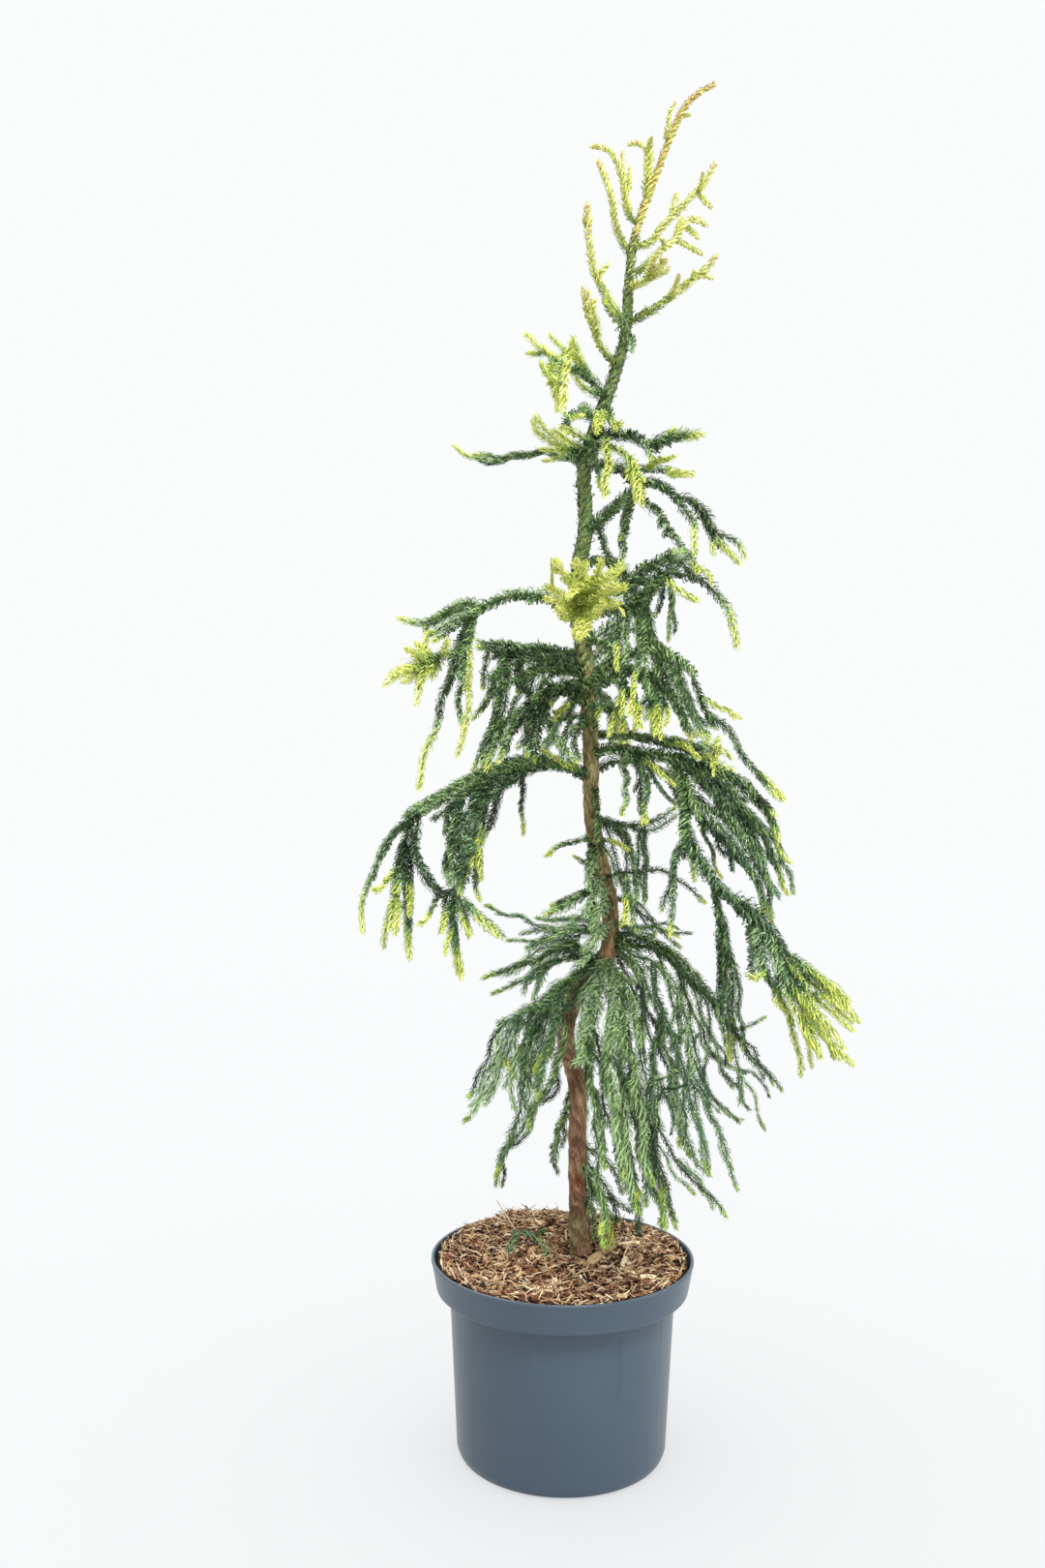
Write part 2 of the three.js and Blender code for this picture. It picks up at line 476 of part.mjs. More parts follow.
function join(items, extend) {
  const lead = typeof items[0] === 'string' ? items[0] : items[0][0];
  const leadFrom = typeof items[0] === 'string' ? departure(lead) : items[0][1];
  let body = null;
  items.forEach((item, i) => {
    let [name, from, to] = typeof item === 'string' ? [item, 0, 1] : item;
    const joined = name[0] === '+';
    if (joined) name = name.slice(1);
    const [, , length, , , half] = SHOOTS[name];
    let path = lines[name];
    if (joined) {
      const foot = along(lines[lead], leadFrom + 4 / SHOOTS[lead][2]);
      path = [foot];
      for (let k = 1; k <= 12; k++) path.push(along(lines[name], 0.28 + 0.72 * (k - 1) / 11));
    } else if (i === 0 && typeof item === 'string') {
      from = leadFrom;
    }
    const skin = solid(shootSkin(path, half, length, from, to, i === 0 ? 5 : 4, extend));
    body = body ? body.add(skin) : skin;
  });
  return body;
}
for (const [node, items] of Object.entries(MASSES)) {
  const needles = /gold|top|shoulder/.test(node) ? goldNeedles : /skirt/.test(node) ? greyNeedles : darkNeedles;
  add(node, geometryOf(cutClear(join(items, 0), cutters)), needles);
  cutters.push(join(items, CLEAR));
  seed++;
}

export default plant;
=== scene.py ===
"""A young weeping cryptomeria in a round nursery pot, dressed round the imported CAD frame.

Millimetres inside this file, metres in Blender. +Z up, origin under the middle of the pot.

The trunk and every shoot are worked out from a few named sizes, as in the CAD: where a shoot springs
from its parent, its length, and its pitch (degrees above level) and swing (degrees round from +X) at
evenly spaced stations. Short side sprigs and the shoots on the far side then grow on from those by
seeded rules. Needles stand in slowly turning ranks, and every needle sweeps the same way round its
shoot, which is what gives the plant its rope-like ringlets.
"""
import json
import math

import bpy
import numpy as np
from mathutils import Matrix, Vector

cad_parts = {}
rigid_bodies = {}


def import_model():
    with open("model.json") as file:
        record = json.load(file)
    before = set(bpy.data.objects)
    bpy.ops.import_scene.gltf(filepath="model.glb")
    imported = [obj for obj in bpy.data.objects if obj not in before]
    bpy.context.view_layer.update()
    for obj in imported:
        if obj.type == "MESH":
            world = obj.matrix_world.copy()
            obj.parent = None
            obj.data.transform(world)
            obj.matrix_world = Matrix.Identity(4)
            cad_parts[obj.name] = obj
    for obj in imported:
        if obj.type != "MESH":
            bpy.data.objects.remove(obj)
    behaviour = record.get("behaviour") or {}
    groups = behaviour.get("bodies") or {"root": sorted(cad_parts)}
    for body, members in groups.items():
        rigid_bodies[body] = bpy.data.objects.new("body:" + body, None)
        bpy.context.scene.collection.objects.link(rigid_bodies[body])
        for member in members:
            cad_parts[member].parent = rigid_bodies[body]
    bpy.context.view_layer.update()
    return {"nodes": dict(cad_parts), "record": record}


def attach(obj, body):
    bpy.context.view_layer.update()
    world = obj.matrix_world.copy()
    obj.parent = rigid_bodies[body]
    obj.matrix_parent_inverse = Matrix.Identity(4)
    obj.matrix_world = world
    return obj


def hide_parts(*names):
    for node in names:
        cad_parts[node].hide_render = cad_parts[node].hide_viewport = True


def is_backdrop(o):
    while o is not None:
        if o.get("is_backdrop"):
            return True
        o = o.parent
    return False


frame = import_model()
TAU = 2 * math.pi

# ------------------------------------------------------------------------------------------------ sizes
FOOT = (15.8, 0.0, 166.35)
TRUNK_LENGTH = 1019.8
TRUNK_PITCH = (85, 87, 84, 93, 69, 81, 40, 93, 72, 79, 89, 88, 87, 78, 88, 77, 88, 73, 70, 73, 88, 84, 70, 69, 67, 18)
TRUNK_SWING = (171, 141, 80, 174, 154, 370, 358, 330, 175, 204, 210, 190, 153, 172, 127, -20, 197, -17, 7, -3, -34, -31, -8, -10, -5, 0)
TRUNK_GIRTH = ((0, 10.2), (.012, 8.9), (.04, 8.0), (.1, 7.6), (.3, 7.2), (.5, 6.5), (.62, 5.4), (.7, 4.6), (.8, 3.4), (.87, 2.5), (.95, 1.5), (1, .6))

POT_HEIGHT = 165.0
RIM_RADIUS = 110.7
BAND_FOOT = 139.0
BODY_TOP_RADIUS = 95.5
BASE_RADIUS = 88.5
WALL = 2.2
DRAIN_RADIUS = 5.0
DRAIN_CIRCLE = 66.0
SOIL_TOP = 166.0

# Shoots: parent, fraction of the parent's length, own length, pitch, swing, half width with its needles,
# fraction of the length where the gold begins, kind (d dark, m middle, l light skirt), group
SHOOTS = {
    'a1': ('trunk', .87, 80, (15, 79, 62, -17), (-148, -119, -146, -174), 3.69, .1, 'd', 'top_left'),
    'a2': ('trunk', .845, 101, (48, 75, 60), (138, 113, 149), 4.1, .12, 'd', 'top_left'),
    'a3': ('trunk', .79, 105, (4, 64, 58, 76, 71), (-138, -153, -140, -108, -102), 4.51, .35, 'd', 'shoulder_left'),
    'a3s': ('a3', .45, 15, (63, 39), (24, 11), 3.28, .05, 'd', 'shoulder_left'),
    'a4': ('trunk', .905, 60, (39, 83, -3), (113, 90, 171), 3.69, .08, 'd', 'top_right'),
    'a4b': ('a4', .64, 30, (-17, 7), (-90, -85), 2.87, .05, 'd', 'top_right'),
    'a5': ('trunk', .945, 35, (-53, 116, 26), (-229, 86, -70), 2.87, .05, 'd', 'top_right'),
    'a6': ('trunk', .96, 20, (33, 18), (60, 45), 2.46, .05, 'd', 'top_right'),
    'a7': ('trunk', .755, 78, (18, 60), (-130, -112), 4.1, .25, 'd', 'shoulder_left'),
    'a7s': ('a7', .66, 23, (61, 63), (78, 60), 3.28, .1, 'd', 'shoulder_left'),
    'b1': ('trunk', .855, 96, (-45, 52, 34, 42, 61), (-44, -26, -29, -24, -42), 4.1, .12, 'd', 'shoulder_right'),
    'b1a': ('b1', .44, 24, (67, 71), (58, 37), 3.28, .05, 'd', 'shoulder_right'),
    'b1b': ('b1', .745, 33, (-7, 10), (-86, -94), 2.87, .02, 'd', 'shoulder_right'),
    'b1c': ('b1', .745, 33, (-40, -43), (-83, -57), 2.87, .02, 'd', 'shoulder_right'),
    'b2': ('trunk', .83, 105, (15, 48, 39, 60, -33), (63, 21, 34, 29, 22), 4.1, .22, 'd', 'shoulder_right'),
    'b2a': ('b2', .645, 39, (41, 45), (80, 67), 3.28, .05, 'd', 'shoulder_right'),
    'b2b': ('b2', .47, 10, (42, 31), (-45, -204), 3.28, .1, 'd', 'shoulder_right'),
    'b2c': ('b2', .77, 38, (11, -10), (68, 59), 3.28, .05, 'd', 'shoulder_right'),
    'b2d': ('b2', .61, 40, (3, -11), (57, 35), 3.28, .05, 'd', 'shoulder_right'),
    'b4': ('trunk', .82, 60, (-14, 10), (-73, -52), 4.1, .1, 'd', 'gold_right'),
    'b4a': ('b4', .535, 35, (4, 10), (-91, -79), 4.1, .05, 'd', 'gold_right'),
    'b4b': ('b4', .625, 41, (-1, 4), (-84, -72), 4.1, .05, 'd', 'gold_right'),
    'b3': ('trunk', .79, 94, (12, 38), (-39, -32), 4.51, .45, 'd', 'gold_right'),
    'b3a': ('b3', .76, 22, (35, -15), (54, 33), 3.28, .1, 'd', 'gold_right'),
    'b3b': ('b3', .475, 49, (-5, 10), (-88, -88), 3.28, .15, 'd', 'gold_right'),
    'c1': ('trunk', .73, 72, (7, 47), (-124, -115), 4.92, .55, 'd', 'high_left'),
    'c1s': ('c1', .73, 37, (27, 50), (142, 151), 3.28, .3, 'd', 'high_left'),
    'c2': ('c1', .475, 99, (19, 44), (116, 141), 4.51, .35, 'd', 'high_left'),
    'c2s': ('c2', .68, 38, (15, 11), (113, 123), 3.28, .3, 'd', 'high_left'),
    'c3': ('c1', .78, 76, (37, -79, -58, -73), (-135, -100, -105, -95), 4.1, 0, 'd', 'high_left'),
    'c3v': ('c3', .665, 25, (10, 65), (-162, -164), 3.28, .1, 'd', 'high_left'),
    'c4': ('trunk', .705, 48, (43, 13, -81), (107, 173, 28), 4.51, .95, 'd', 'high_left'),
    'c5': ('trunk', .67, 83, (40, 30, 57), (116, 138, 124), 4.51, .2, 'd', 'arm_left'),
    'c6': ('trunk', .715, 62, (-8, -46), (-90, -105), 4.92, .4, 'd', 'high_front'),
    'c6a': ('trunk', .72, 55, (-14, -46, -4), (-67, -91, -53), 3.69, .6, 'd', 'high_front'),
    'c6b': ('trunk', .705, 106, (-31, -58), (-73, -107), 4.51, .3, 'd', 'high_front'),
    'L0': ('trunk', .665, 126, (48, -17, 36), (151, 167, 164), 4.1, .8, 'd', 'arm_left'),
    'R1': ('trunk', .695, 78, (-7, -8, -71), (-53, -38, -74), 5.33, .95, 'd', 'high_right'),
    'R1f': ('R1', .78, 47, (-10, 42, -24), (31, 20, 15), 4.51, .55, 'd', 'high_right'),
    'R1b': ('trunk', .67, 108, (5, -2), (34, 20), 4.51, .85, 'd', 'high_right'),
    'R1g': ('trunk', .69, 119, (-24, -16, -54, -45), (-76, -46, -83, -79), 4.1, .3, 'd', 'high_front'),
    'R2': ('trunk', .615, 106, (27, 52, -55), (33, 23, 13), 4.92, 2, 'd', 'bough_R2'),
    'R2a': ('R2', 1, 59, (-40, -79), (-29, -105), 4.1, .5, 'd', 'right_high_tips'),
    'R2b': ('R2', .985, 94, (20, -50, -42, -39), (35, 36, 33, 24), 4.1, .62, 'd', 'right_high_tips'),
    'R2s': ('R2b', .595, 23, (-56, -67), (-122, -60), 3.28, .4, 'd', 'right_high_tips'),
    'R2c': ('R2', .595, 124, (-33, -49), (-66, -56), 4.51, .9, 'd', 'right_high_inner'),
    'R2d': ('R2', .545, 109, (-34, -49), (-100, -97), 4.51, .97, 'd', 'right_high_inner'),
    'R2e': ('R2', .17, 78, (-15, -22), (90, 66), 4.1, .97, 'd', 'right_high_inner'),
    'R3': ('trunk', .555, 108, (9, 28), (-48, -33), 6.15, .95, 'd', 'right_band'),
    'R3b': ('trunk', .545, 193, (7, 15, 50, -20, -52, -83), (34, 14, 20, 15, 17, 73), 5.74, .8, 'd', 'right_band'),
    'R3c': ('R3b', .575, 32, (51, -96), (-26, -30), 3.69, .1, 'd', 'right_band'),
    'R3d': ('R3', .765, 55, (-36, -29), (-66, -30), 3.69, .3, 'd', 'right_band'),
    'R3e': ('R3b', .49, 64, (-43, -74), (69, 108), 4.1, .9, 'd', 'right_band_drop'),
    'R3f': ('R3b', .44, 50, (-45, -41), (-73, -135), 4.1, .9, 'd', 'right_band_drop'),
    'G1': ('trunk', .545, 118, (4, 11), (-87, -87), 4.92, 0, 'd', 'front_gold'),
    'G2': ('G1', .37, 110, (8, 16), (-100, -109), 4.1, .05, 'd', 'front_gold'),
    'G3': ('G1', .54, 84, (10, 15), (-80, -67), 4.1, .05, 'd', 'front_gold'),
    'G4': ('G1', .49, 81, (-19, -27), (-87, -98), 4.1, .05, 'd', 'front_gold'),
    'G5': ('G1', .455, 90, (-7, 12), (-108, -113), 3.69, .1, 'd', 'front_gold'),
    'G6': ('G1', .68, 70, (7, 19), (-99, -102), 4.1, .05, 'd', 'front_gold'),
    'G7': ('G1', .595, 84, (1, -30), (-72, -74), 3.69, .1, 'd', 'front_gold'),
    'L1': ('trunk', .535, 114, (46, -40), (-135, -159), 5.33, 2, 'd', 'bough_L1'),
    'L1w': ('L1', .995, 149, (-62, -74), (-133, -150), 4.51, .68, 'd', 'left_high_drop'),
    'L1u': ('L1', .93, 75, (30, -43, 30), (159, 169, 168), 4.51, .8, 'd', 'left_high_arm'),
    'L1v': ('L1u', .695, 27, (-52, -54), (-81, -89), 3.28, .2, 'd', 'left_high_arm'),
    'L1x': ('L1', .995, 58, (-20, -33), (-114, -141), 4.1, .85, 'd', 'left_high_arm'),
    'L1g': ('L1w', .24, 74, (-8, -35), (-138, -150), 3.69, .4, 'd', 'left_high_gold'),
    'L1h': ('L1g', .495, 31, (19, 10), (-101, -120), 3.28, .2, 'd', 'left_high_gold'),
    'L1i': ('L1g', .495, 34, (-69, -80), (-121, -118), 3.28, .3, 'd', 'left_high_gold'),
    'L1j': ('L1g', .28, 26, (5, 45), (-65, -79), 3.28, .2, 'd', 'left_high_gold'),
    'L1k': ('L1', .995, 113, (-72, -91, -67), (-147, -71, -195), 4.1, .05, 'd', 'left_high_drop'),
    'L1l': ('L1k', .46, 44, (-40, -89), (-172, 5), 3.28, .85, 'd', 'left_high_drop'),
    'L2': ('trunk', .505, 121, (25, -4, 15), (113, 156, 145), 4.92, .95, 'd', 'left_mid_arm'),
    'L2a': ('L2', .905, 36, (-56, -69), (118, 90), 3.69, .9, 'd', 'left_mid_arm'),
    'L2b': ('L2', .75, 68, (-64, -55), (-129, -161), 4.1, .9, 'd', 'left_mid_drop'),
    'L2c': ('L2', .73, 114, (-65, -63), (101, 162), 4.51, .9, 'd', 'left_mid_drop'),
    'L2d': ('L2', .625, 65, (-16, -44, -14), (90, 97, 35), 4.1, .95, 'd', 'left_mid_drop'),
    'L3': ('trunk', .47, 138, (39, -37, -65), (-137, -155, -117), 4.51, .9, 'd', 'left_mid_front'),
    'L3a': ('L3', .56, 71, (-27, -44), (-104, -108), 4.1, .85, 'd', 'left_mid_front'),
    'L3b': ('L3', .335, 59, (-62, -77), (-128, -112), 5.33, .95, 'd', 'left_mid_clump'),
    'L3c': ('L3', .37, 83, (-47, -35), (-94, -42), 4.51, .95, 'd', 'left_mid_clump'),
    'L3d': ('L3', .405, 80, (-31, -42), (-103, -93), 4.92, .95, 'd', 'left_mid_clump'),
    'L3e': ('trunk', .46, 54, (9, -11, 60), (-123, -159, -2), 3.69, .8, 'd', 'left_mid_clump'),
    'L4': ('trunk', .41, 170, (36, -23, -37), (-158, -169, -164), 5.33, 2, 'd', 'bough_L4'),
    'L4t': ('L4', 1, 105, (-73, -81), (-145, -137), 4.1, .72, 'd', 'left_low_outer'),
    'L4g': ('trunk', .41, 66, (18, 25), (-127, -142), 3.28, .3, 'd', 'left_low_fork'),
    'L4a': ('L4', .965, 108, (-33, -86), (-156, -112), 3.69, .75, 'd', 'left_low_outer'),
    'L4c': ('L4t', .225, 89, (-65, -80), (-64, -85), 4.1, .78, 'd', 'left_low_outer'),
    'L4d': ('L4t', .175, 46, (-61, -94), (-8, -116), 3.28, .7, 'd', 'left_low_outer'),
    'L4e': ('L4t', .295, 49, (-29, -31), (-90, -132), 3.28, .3, 'd', 'left_low_outer'),
    'L4f': ('L4', .95, 136, (-66, -82, -24, -30, -56), (-103, -70, -6, -17, -14), 4.51, 2, 'l', 'left_low_inner'),
    'L4h': ('L4f', .525, 38, (-33, -45), (-99, -130), 3.28, .6, 'd', 'left_low_inner'),
    'L4i': ('L4f', .56, 32, (-82, -83), (76, 165), 3.28, .8, 'd', 'left_low_inner'),
    'L4j': ('L4f', .61, 67, (-68, -71), (-95, -37), 3.69, .55, 'd', 'left_low_inner'),
    'L4k': ('L4f', .66, 31, (-61, -85), (23, 61), 3.28, .8, 'd', 'left_low_inner'),
    'L5': ('L4', .56, 118, (-39, -65), (-116, -94), 4.51, .93, 'd', 'left_low_drop'),
    'L5a': ('L4', .68, 85, (-69, -84), (145, 123), 4.1, .93, 'd', 'left_low_drop'),
    'L5b': ('L4', .545, 91, (-76, -80, -81), (127, 167, -38), 4.1, .88, 'd', 'left_low_drop'),
    'L5c': ('L5b', .56, 27, (-63, -78), (-152, -122), 3.28, .2, 'd', 'left_low_drop'),
    'L5d': ('L5b', .845, 36, (-63, -67), (172, -4), 3.28, .6, 'd', 'left_low_drop'),
    'L5e': ('L4', .355, 72, (-52, -72), (107, 78), 3.28, .72, 'd', 'left_low_drop'),
    'R4': ('trunk', .485, 117, (38, 18, -62), (-66, -20, -44), 4.92, 2, 'd', 'bough_R4'),
    'R4w': ('R4', 1, 123, (-77, -43, -62, -30), (-38, -7, -14, -4), 4.51, .9, 'd', 'right_mid_drop'),
    'R4g': ('R4w', .14, 52, (-16, -22), (-71, -46), 3.28, .2, 'd', 'right_mid_drop'),
    'R5u': ('trunk', .445, 140, (5, -29), (29, 13), 4.51, .85, 'd', 'right_mid_arm'),
    'R5': ('trunk', .425, 149, (56, -15, 0, -29, -9, -49), (-41, -13, -16, -14, -13, -16), 4.92, 2, 'd', 'bough_R5'),
    'R5t': ('R5', 1, 27, (-36, -43), (-60, -33), 4.1, .7, 'd', 'right_mid_tips'),
    'R5g': ('R5u', .54, 47, (26, -54), (60, 44), 3.69, .45, 'd', 'right_mid_arm'),
    'R5h': ('R5u', .725, 16, (33, 42), (-19, -14), 3.28, .5, 'd', 'right_mid_arm'),
    'R5i': ('R5u', .76, 16, (-43, -34), (36, 12), 3.28, .5, 'd', 'right_mid_arm'),
    'R5j': ('R5u', .815, 29, (28, 49), (61, 45), 3.28, .45, 'd', 'right_mid_arm'),
    'D0': ('trunk', .505, 134, (6, 41, 4, -51), (77, 53, 39, 54), 5.74, 2, 'd', 'inner_right_back'),
    'D1': ('D0', .525, 38, (-65, -78), (77, 140), 4.1, .55, 'd', 'inner_right_back'),
    'D2': ('D0', .715, 74, (-64, -74), (-88, -138), 4.1, .6, 'd', 'inner_right_front'),
    'D3': ('trunk', .485, 113, (26, -7, -48, -39), (-91, -45, -97, -98), 4.51, .85, 'd', 'inner_right_front'),
    'D4': ('D0', .9, 89, (-65, -78), (69, 119), 4.1, .6, 'd', 'inner_right_back'),
    'D5': ('D0', 1, 74, (-77, -86), (78, 107), 4.1, .8, 'd', 'inner_right_back'),
    'D6': ('D3', .475, 70, (-13, -48), (-68, -95), 4.1, .6, 'd', 'inner_right_front'),
    'D7': ('trunk', .47, 68, (-25, 15, -53, -37), (-97, -44, -90, -101), 4.51, .7, 'd', 'inner_right_front'),
    'D8': ('trunk', .48, 136, (19, 17, -65), (75, 45, 76), 5.33, 2, 'd', 'inner_right_back'),
    'D9': ('D3', .37, 82, (49, -45, -66), (-61, -38, -148), 4.92, .95, 'd', 'inner_right_front'),
    'E1': ('R5', .205, 94, (-29, -37), (-83, -102), 4.51, .9, 'd', 'right_low_front'),
    'E2': ('R5', .24, 86, (-27, -54), (-55, -112), 4.51, .85, 'd', 'right_low_front'),
    'E3': ('R5', .34, 50, (-75, -39), (-39, 0), 3.28, .85, 'd', 'right_low_front'),
    'R6': ('R5', .475, 79, (-41, -70), (-54, -110), 5.33, 2, 'd', 'bough_R6'),
    'R6a': ('R6', 1, 85, (-47, -72), (-123, -90), 4.1, .85, 'd', 'right_low_drop'),
    'R6b': ('R6', .935, 130, (-66, -43, -48), (18, 6, 8), 6.15, 2, 'd', 'right_low_arm'),
    'R6c': ('R6b', .745, 41, (-48, -63), (-112, -55), 5.74, .95, 'd', 'right_low_arm'),
    'R6d': ('R6c', .795, 28, (-79, 31), (-36, -198), 4.1, .3, 'd', 'right_low_arm'),
    'F1': ('R6b', .995, 83, (-33, -49), (-7, -3), 3.69, .2, 'd', 'right_gold_fan'),
    'F2': ('R6b', .995, 83, (-49, -35), (-54, -18), 3.69, .2, 'd', 'right_gold_fan'),
    'F3': ('R6b', .995, 113, (-68, -44), (24, 5), 3.69, .25, 'd', 'right_gold_fan'),
    'F4': ('R6b', .98, 93, (-56, -54), (-97, -25), 3.69, .3, 'd', 'right_gold_drop'),
    'F5': ('R6b', .98, 99, (-79, -69, -80), (-155, -1, -67), 3.69, .3, 'd', 'right_gold_drop'),
    'F6': ('R6c', .915, 66, (-43, -58), (47, 36), 3.69, .3, 'd', 'right_gold_drop'),
    'F7': ('F3', .41, 61, (-69, -70), (75, 39), 3.28, .3, 'd', 'right_gold_fan'),
    'F8': ('F2', .475, 29, (-7, -23), (-56, -39), 3.28, .2, 'd', 'right_gold_fan'),
    'H1': ('R6b', .34, 164, (-64, -82), (50, 79), 4.51, .8, 'd', 'right_low_tail'),
    'H2': ('H1', .37, 52, (-77, -93), (178, 54), 3.69, .95, 'd', 'right_low_tail'),
    'Fc': ('R6', .525, 131, (-45, -44, -72), (33, 15, 34), 4.51, .9, 'd', 'right_low_fan'),
    'Fd': ('R6', .455, 174, (-21, -42, -75), (42, 32, 77), 4.51, .93, 'd', 'right_low_fan'),
    'Fe': ('R5', .73, 138, (-53, -32, -64, -56), (54, 18, 40, 29), 4.51, .85, 'd', 'right_low_fan_back'),
    'Ff': ('R5', .935, 58, (-38, -88), (4, 9), 4.1, .9, 'd', 'right_mid_tips'),
    'Ff2': ('Ff', .915, 24, (-64, -39), (38, 6), 3.28, .2, 'd', 'right_mid_tips'),
    'Fg': ('R6', .59, 137, (-13, -37, -40), (62, 72, 62), 3.28, .85, 'd', 'right_low_fan_back'),
    'K1': ('R5', .29, 160, (-34, -60, -60), (55, 104, 83), 4.51, 2, 'd', 'centre_back_drop'),
    'K2': ('K1', .49, 97, (-46, -64), (77, 91), 4.1, .97, 'd', 'centre_back_drop'),
    'K3': ('trunk', .375, 98, (10, -18, 14, 29), (73, 24, 32, 26), 4.51, .95, 'd', 'centre_arm'),
    'K4': ('K3', .235, 74, (-23, -53), (-58, -97), 4.51, .97, 'd', 'centre_front_drop'),
    'K5': ('trunk', .325, 106, (29, 6, 6, -32, -42), (-92, -19, -35, -31, -43), 4.51, .93, 'd', 'centre_arm_low'),
    'K6': ('trunk', .31, 106, (-10, -11, -45, -31, -41), (85, 27, 50, 33, 40), 4.1, .93, 'd', 'centre_arm_low_back'),
    'K7': ('K5', .245, 76, (-20, -30), (-83, -92), 4.1, .95, 'd', 'centre_front_drop'),
    'K8': ('K5', .21, 86, (-17, -25), (-82, -97), 3.69, .5, 'd', 'centre_front_drop'),
    'J1': ('trunk', .36, 52, (6, -31), (-143, -153), 3.28, .8, 'd', 'trunk_left_sprays'),
    'J2': ('trunk', .34, 31, (-20, 33), (116, 154), 3.28, .8, 'd', 'trunk_left_sprays'),
    'J3': ('trunk', .315, 70, (5, -29), (-136, -144), 3.28, .9, 'd', 'trunk_left_sprays'),
    'J4': ('trunk', .37, 93, (-65, -74), (-116, -54), 4.1, .97, 'd', 'trunk_front_sprays'),
    'J5': ('trunk', .4, 52, (72, -90, -60, -75, -68), (-119, -18, -87, -80, -81), 3.69, .97, 'd', 'trunk_front_sprays'),
    'M1': ('trunk', .25, 126, (40, 13), (-140, -162), 2.87, .95, 'l', 'skirt_left_thin'),
    'M2': ('trunk', .25, 88, (42, -19), (163, 173), 2.87, .95, 'l', 'skirt_left_thin'),
    'M3': ('trunk', .25, 135, (9, 36, -18, -8, -13), (-123, -135, -144, -143, -146), 3.28, .95, 'l', 'skirt_left_thin_low'),
    'M4': ('trunk', .25, 106, (-1, 15, -42, -24, -27), (147, 158, 158, 161, 163), 3.28, .95, 'l', 'skirt_left_thin_low'),
    'M5': ('M4', .44, 64, (-24, -52), (115, 96), 3.28, .97, 'l', 'skirt_left_thin_low'),
    'N1': ('trunk', .25, 128, (5, -26, -2), (-129, -127, -141), 4.51, 2, 'l', 'bough_N1'),
    'N1t': ('N1', .995, 86, (-65, -74, -40), (-125, -139, -170), 3.69, .93, 'l', 'skirt_left_outer'),
    'N1a': ('N1', .83, 75, (-59, -80), (-141, -55), 3.69, .97, 'l', 'skirt_left_outer'),
    'N1b': ('N1', .745, 100, (-36, -57, -52), (-108, -98, -69), 3.69, .97, 'l', 'skirt_left_inner'),
    'N2': ('trunk', .215, 199, (-50, -76, -57, -52, -78), (139, 97, 155, 157, 133), 4.1, .97, 'l', 'skirt_left_back'),
    'N3': ('trunk', .145, 150, (-9, -57, -47, -58, -56), (99, 96, 111, 100, 67), 3.69, 2, 'm', 'skirt_left_back'),
    'P1': ('trunk', .255, 139, (-16, -36), (-99, -106), 5.33, 2, 'l', 'skirt_front'),
    'P2': ('trunk', .255, 141, (-10, -30), (-81, -101), 4.92, 2, 'l', 'skirt_front'),
    'P3': ('P2', .39, 171, (-37, -58), (-77, -83), 4.51, .97, 'l', 'skirt_front_long'),
    'P4': ('P1', .505, 138, (-41, -58), (-102, -67), 3.69, .97, 'l', 'skirt_front_low'),
    'P5': ('P2', .595, 162, (-51, -64, -60), (-131, -59, -58), 3.69, .95, 'l', 'skirt_front_low'),
    'P6': ('P4', .695, 96, (-74, -76), (-88, -56), 3.69, .85, 'l', 'skirt_front_low'),
    'Q1': ('trunk', .275, 134, (-26, 7, -39, -43, -48, -54), (-32, -17, -22, -23, -23, -26), 4.51, 2, 'l', 'bough_Q1'),
    'Q1t': ('Q1', 1, 70, (-48, -47), (35, 15), 3.69, .95, 'l', 'skirt_right_tips'),
    'Q1a': ('Q1', .935, 73, (-30, 20), (67, 42), 3.28, .95, 'l', 'skirt_right_tips'),
    'Q1b': ('Q1', .95, 60, (-35, -64), (-34, -32), 3.28, .95, 'l', 'skirt_right_tips'),
    'Q2': ('trunk', .275, 133, (5, -41, -42), (39, 29, 31), 4.51, .97, 'l', 'skirt_right_back_arm'),
    'Q3': ('trunk', .265, 164, (12, -42, -56), (-46, -56, -108), 4.1, 2, 'l', 'skirt_right_mid'),
    'Q3t': ('Q3', 1, 90, (-52, -78), (-26, -22), 3.69, .97, 'l', 'skirt_right_mid_low'),
    'Q4': ('trunk', .265, 164, (-9, -35, -48), (64, 68, 92), 4.1, 2, 'm', 'skirt_back'),
    'Q4b': ('Q4', .66, 104, (-46, -63), (89, 75), 4.1, 2, 'm', 'skirt_back'),
    'Q5': ('Q3', .32, 182, (-40, -47, -57, -55, -59), (-112, -50, -77, -61, -79), 4.1, .97, 'l', 'skirt_right_front'),
    'Q6': ('Q2', .625, 189, (-57, -65, -65, -23, -72, -58), (54, 40, 35, 11, 33, 25), 3.69, .97, 'l', 'skirt_right_back'),
    'Q7': ('Q6', .625, 56, (-6, -61, -49), (42, 90, 72), 3.28, .97, 'l', 'skirt_right_back'),
    'Q8': ('Q6', .475, 80, (-113, -13), (-8, 8), 3.28, .97, 'l', 'skirt_right_back'),
    'Q9': ('Q5', .255, 175, (-58, -80, -48, -42), (-125, -100, -17, -23), 3.69, .97, 'l', 'skirt_right_low'),
    'Q10': ('Q9', .465, 90, (-40, -60), (-96, -56), 3.69, .95, 'l', 'skirt_right_low'),
    'Q11': ('Q9', .38, 112, (-27, -53, -45), (-112, -90, -51), 3.69, .9, 'l', 'skirt_right_low'),
    'Q12': ('Q3', .305, 49, (-12, -74), (-37, -53), 4.1, 2, 'm', 'skirt_right_mid'),
    'c7': ('trunk', .73, 46, (-2, 79), (140, 160), 4.51, .3, 'd', 'high_left'),
    'c8': ('trunk', .69, 49, (-6, 15), (-108, -141), 4.51, .35, 'd', 'high_left'),
